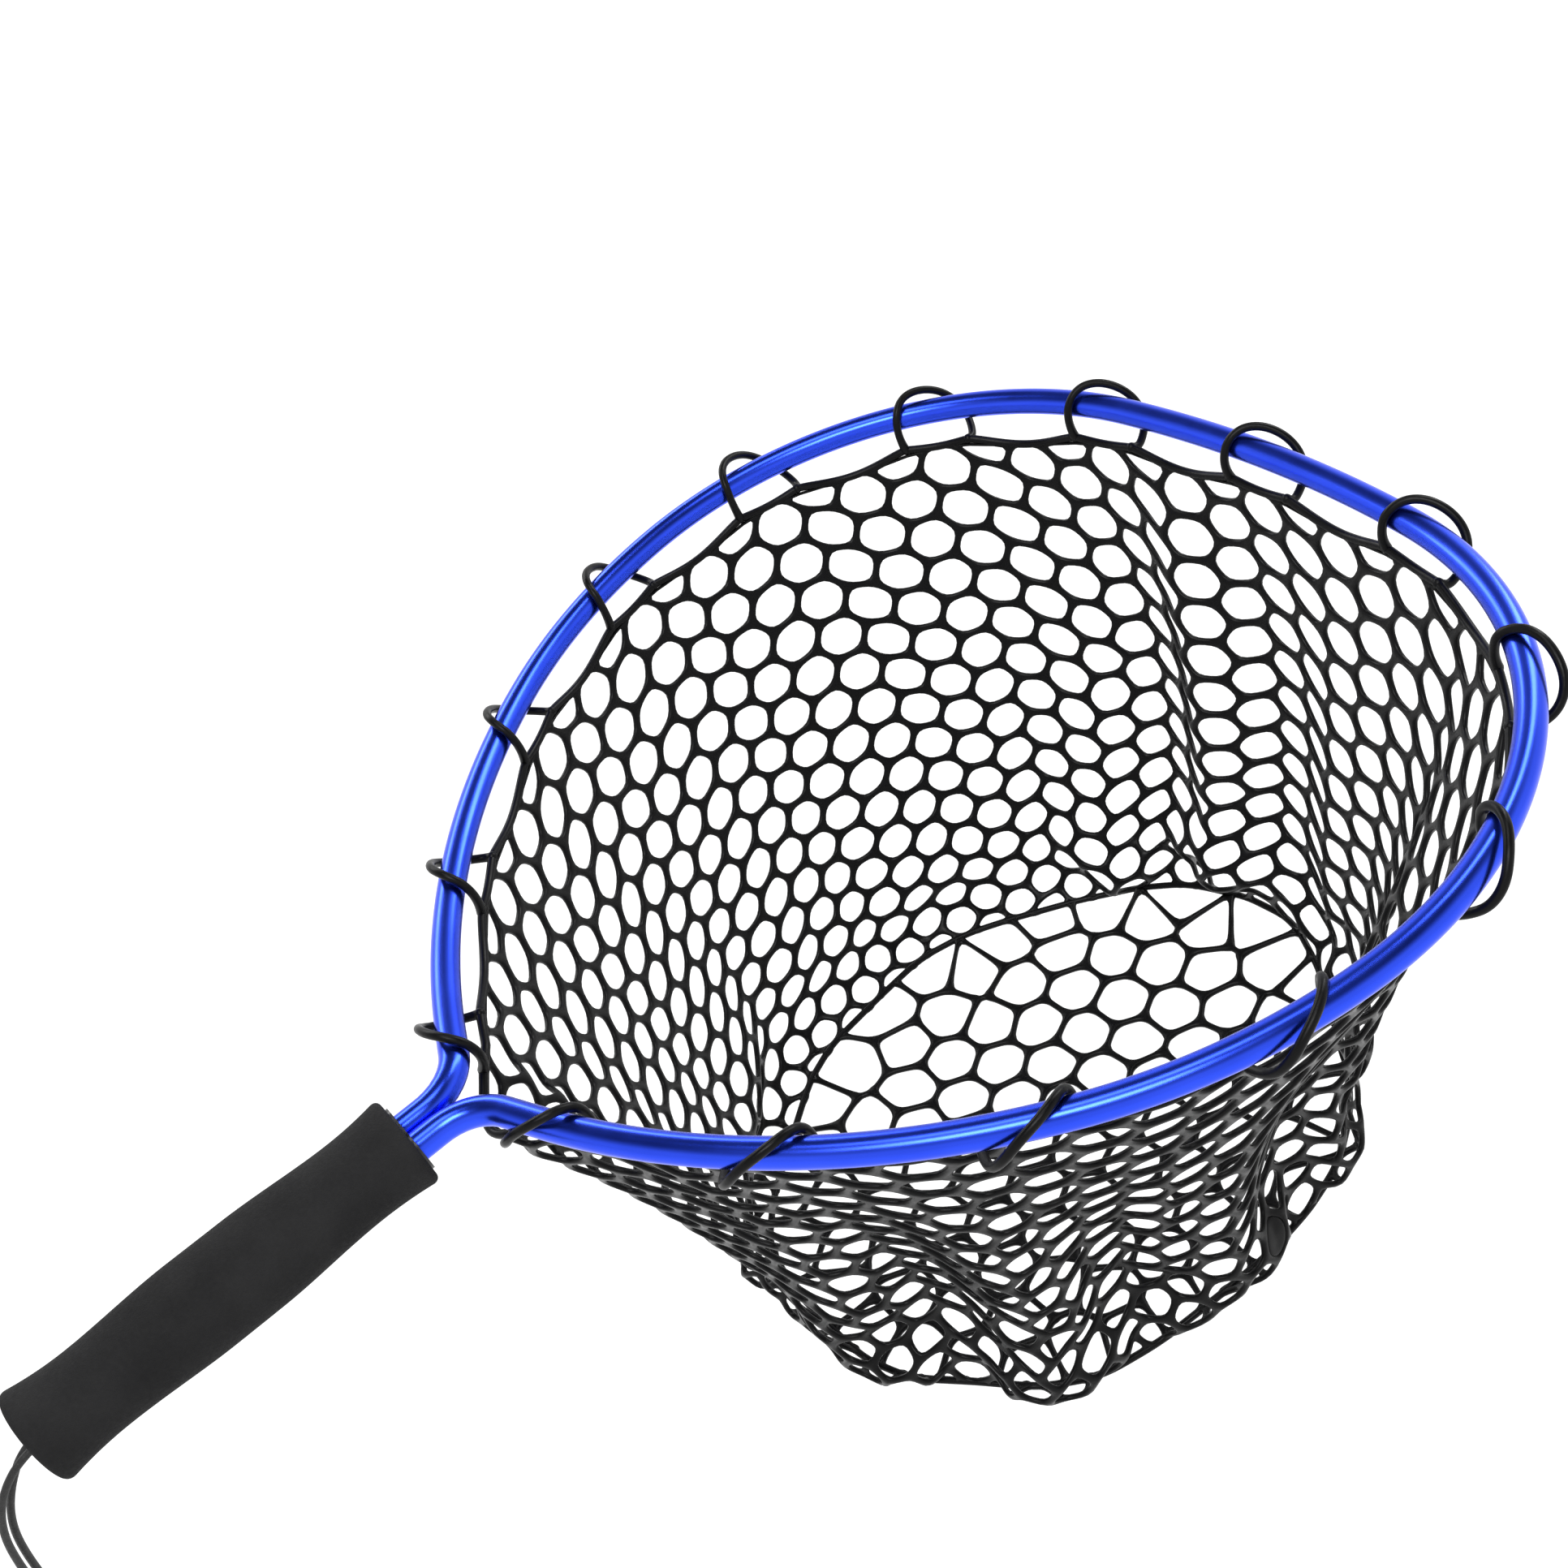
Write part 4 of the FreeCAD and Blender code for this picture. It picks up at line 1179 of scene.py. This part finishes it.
def make_loops():
    rng = np.random.default_rng(5)
    hoop = with_height(at_lengths(HOOP, np.arange(0, lengths_along(HOOP)[-1], 1.0)), 0.0)
    for number, station in enumerate(loop_stations(), start=1):
        place, ahead = hoop_point(station)
        outward = np.array([-ahead[1], ahead[0]])
        shift = rng.uniform(-1, 1, 3) * LOOP_SHIFT
        column = (number - 1) * PER_LOOP
        points = [rim_at([column - FOOT_COLUMNS])[0]]
        middle = (len(LOOP_LINE) - 1) / 2
        for k, (along, out, up) in enumerate(LOOP_LINE):
            share = 1 - abs(k - middle) / (middle + 1)
            moved = np.array([along * LOOP_WIDENING, out, up]) + shift * share * LOOP_SHIFT_GAIN
            flat = place + ahead * moved[0] + outward * moved[1]
            points.append((flat[0], flat[1], moved[2]))
        points.append(rim_at([column + FOOT_COLUMNS])[0])
        line = curved(points, BEND_STEPS)
        for k in range(FOOT_POINTS, len(line) - FOOT_POINTS):
            nearest = hoop[np.argmin(np.linalg.norm(hoop - line[k], axis=1))]
            away = line[k] - nearest
            distance = np.linalg.norm(away)
            if distance < LOOP_CLEARANCE:
                line[k] = nearest + away / distance * LOOP_CLEARANCE
        for _ in range(LOOP_SOFTENING):
            line[1:-1] = (line[:-2] + 2 * line[1:-1] + line[2:]) / 4
        from_start = np.arange(len(line))
        from_foot = np.minimum(from_start, from_start[::-1])
        swell = 1 + FOOT_SWELL * np.exp(-from_foot / SWELL_REACH)
        places, faces = tube_parts(line, STRAND * swell, STRAND_SIDES)
        loop = mesh_object(f"rim_loop_{number:02d}", places, faces, RUBBER)
        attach(loop, "net")
        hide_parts(f"net_loop_{number:02d}")


make_rim()
make_loops()


# ---------------------------------------------------------------------------------------------------
# Snap hook
# ---------------------------------------------------------------------------------------------------
dress("carabiner_body", HOOK_BLUE)
dress("carabiner_gate", GATE)
for small in ("gate_hinge_pin", "gate_latch_pin", "gate_plunger", "gate_spring"):
    dress(small, PIN)


# ---------------------------------------------------------------------------------------------------
# Floor and light
# ---------------------------------------------------------------------------------------------------
STAGE_REACH = 40.0
STAGE_GAP = 0.03
LIT_PLACE = (0.2, 0, -0.05)
# Name, place, width, height and power
LAMPS = (
    ("key", (-0.4, -0.7, 1.6), 1.0, 0.5, 22),
    ("side", (1.5, 0.2, 0.9), 0.35, 1.2, 11),
    ("back", (0.2, 1.5, 0.8), 1.4, 0.35, 10),
    ("top", (0.25, 0.1, 2.2), 1.3, 0.6, 12),
)
# The white surroundings fade upwards, between these heights of a direction of length one
SKY_FADE = (0.38, 0.75)
SKY_LOW = 1.0
SKY_HIGH = 0.06


def make_stage():
    ground = Surface("ground", Roughness=0.9, Specular_IOR_Level=0.0, Emission_Strength=1.0)
    ground.shader.inputs["Base Color"].default_value = (0.2, 0.2, 0.2, 1)
    ground.shader.inputs["Emission Color"].default_value = (1, 1, 1, 1)
    level = cad_box[0][2] - STAGE_GAP
    data = bpy.data.meshes.new("ground")
    data.from_pydata(
        [(x * STAGE_REACH, y * STAGE_REACH, level) for x, y in ((-1, -1), (1, -1), (1, 1), (-1, 1))],
        [],
        [(0, 1, 2, 3)],
    )
    # Not sampled as a lamp, and nor is the sky: the hoop comes out with a little less noise
    ground.material.cycles.emission_sampling = "NONE"
    data.materials.append(ground.material)
    plane = bpy.data.objects.new("ground", data)
    scene.collection.objects.link(plane)


def area_light(name, place, aim, width, height, power):
    data = bpy.data.lights.new(name, "AREA")
    data.shape = "RECTANGLE"
    data.size, data.size_y = width, height
    data.energy = power
    light = bpy.data.objects.new(name, data)
    scene.collection.objects.link(light)
    way = Vector(aim) - Vector(place)
    light.rotation_euler = way.to_track_quat("-Z", "Y").to_euler()
    light.location = place


def make_light():
    world = bpy.data.worlds.new("studio")
    world.use_nodes = True
    world.cycles.sampling_method = "NONE"
    background = world.node_tree.nodes["Background"]
    background.inputs["Color"].default_value = (1, 1, 1, 1)
    directions = world.node_tree.nodes.new("ShaderNodeTexCoord")
    split = world.node_tree.nodes.new("ShaderNodeSeparateXYZ")
    fade = world.node_tree.nodes.new("ShaderNodeMapRange")
    fade.inputs["From Min"].default_value = SKY_FADE[0]
    fade.inputs["From Max"].default_value = SKY_FADE[1]
    fade.inputs["To Min"].default_value = SKY_LOW
    fade.inputs["To Max"].default_value = SKY_HIGH
    world.node_tree.links.new(directions.outputs["Generated"], split.inputs["Vector"])
    world.node_tree.links.new(split.outputs["Z"], fade.inputs["Value"])
    world.node_tree.links.new(fade.outputs["Result"], background.inputs["Strength"])
    scene.world = world
    scene.view_settings.view_transform = "Standard"
    for name, place, width, height, power in LAMPS:
        area_light(name, place, LIT_PLACE, width, height, power)


make_stage()
make_light()
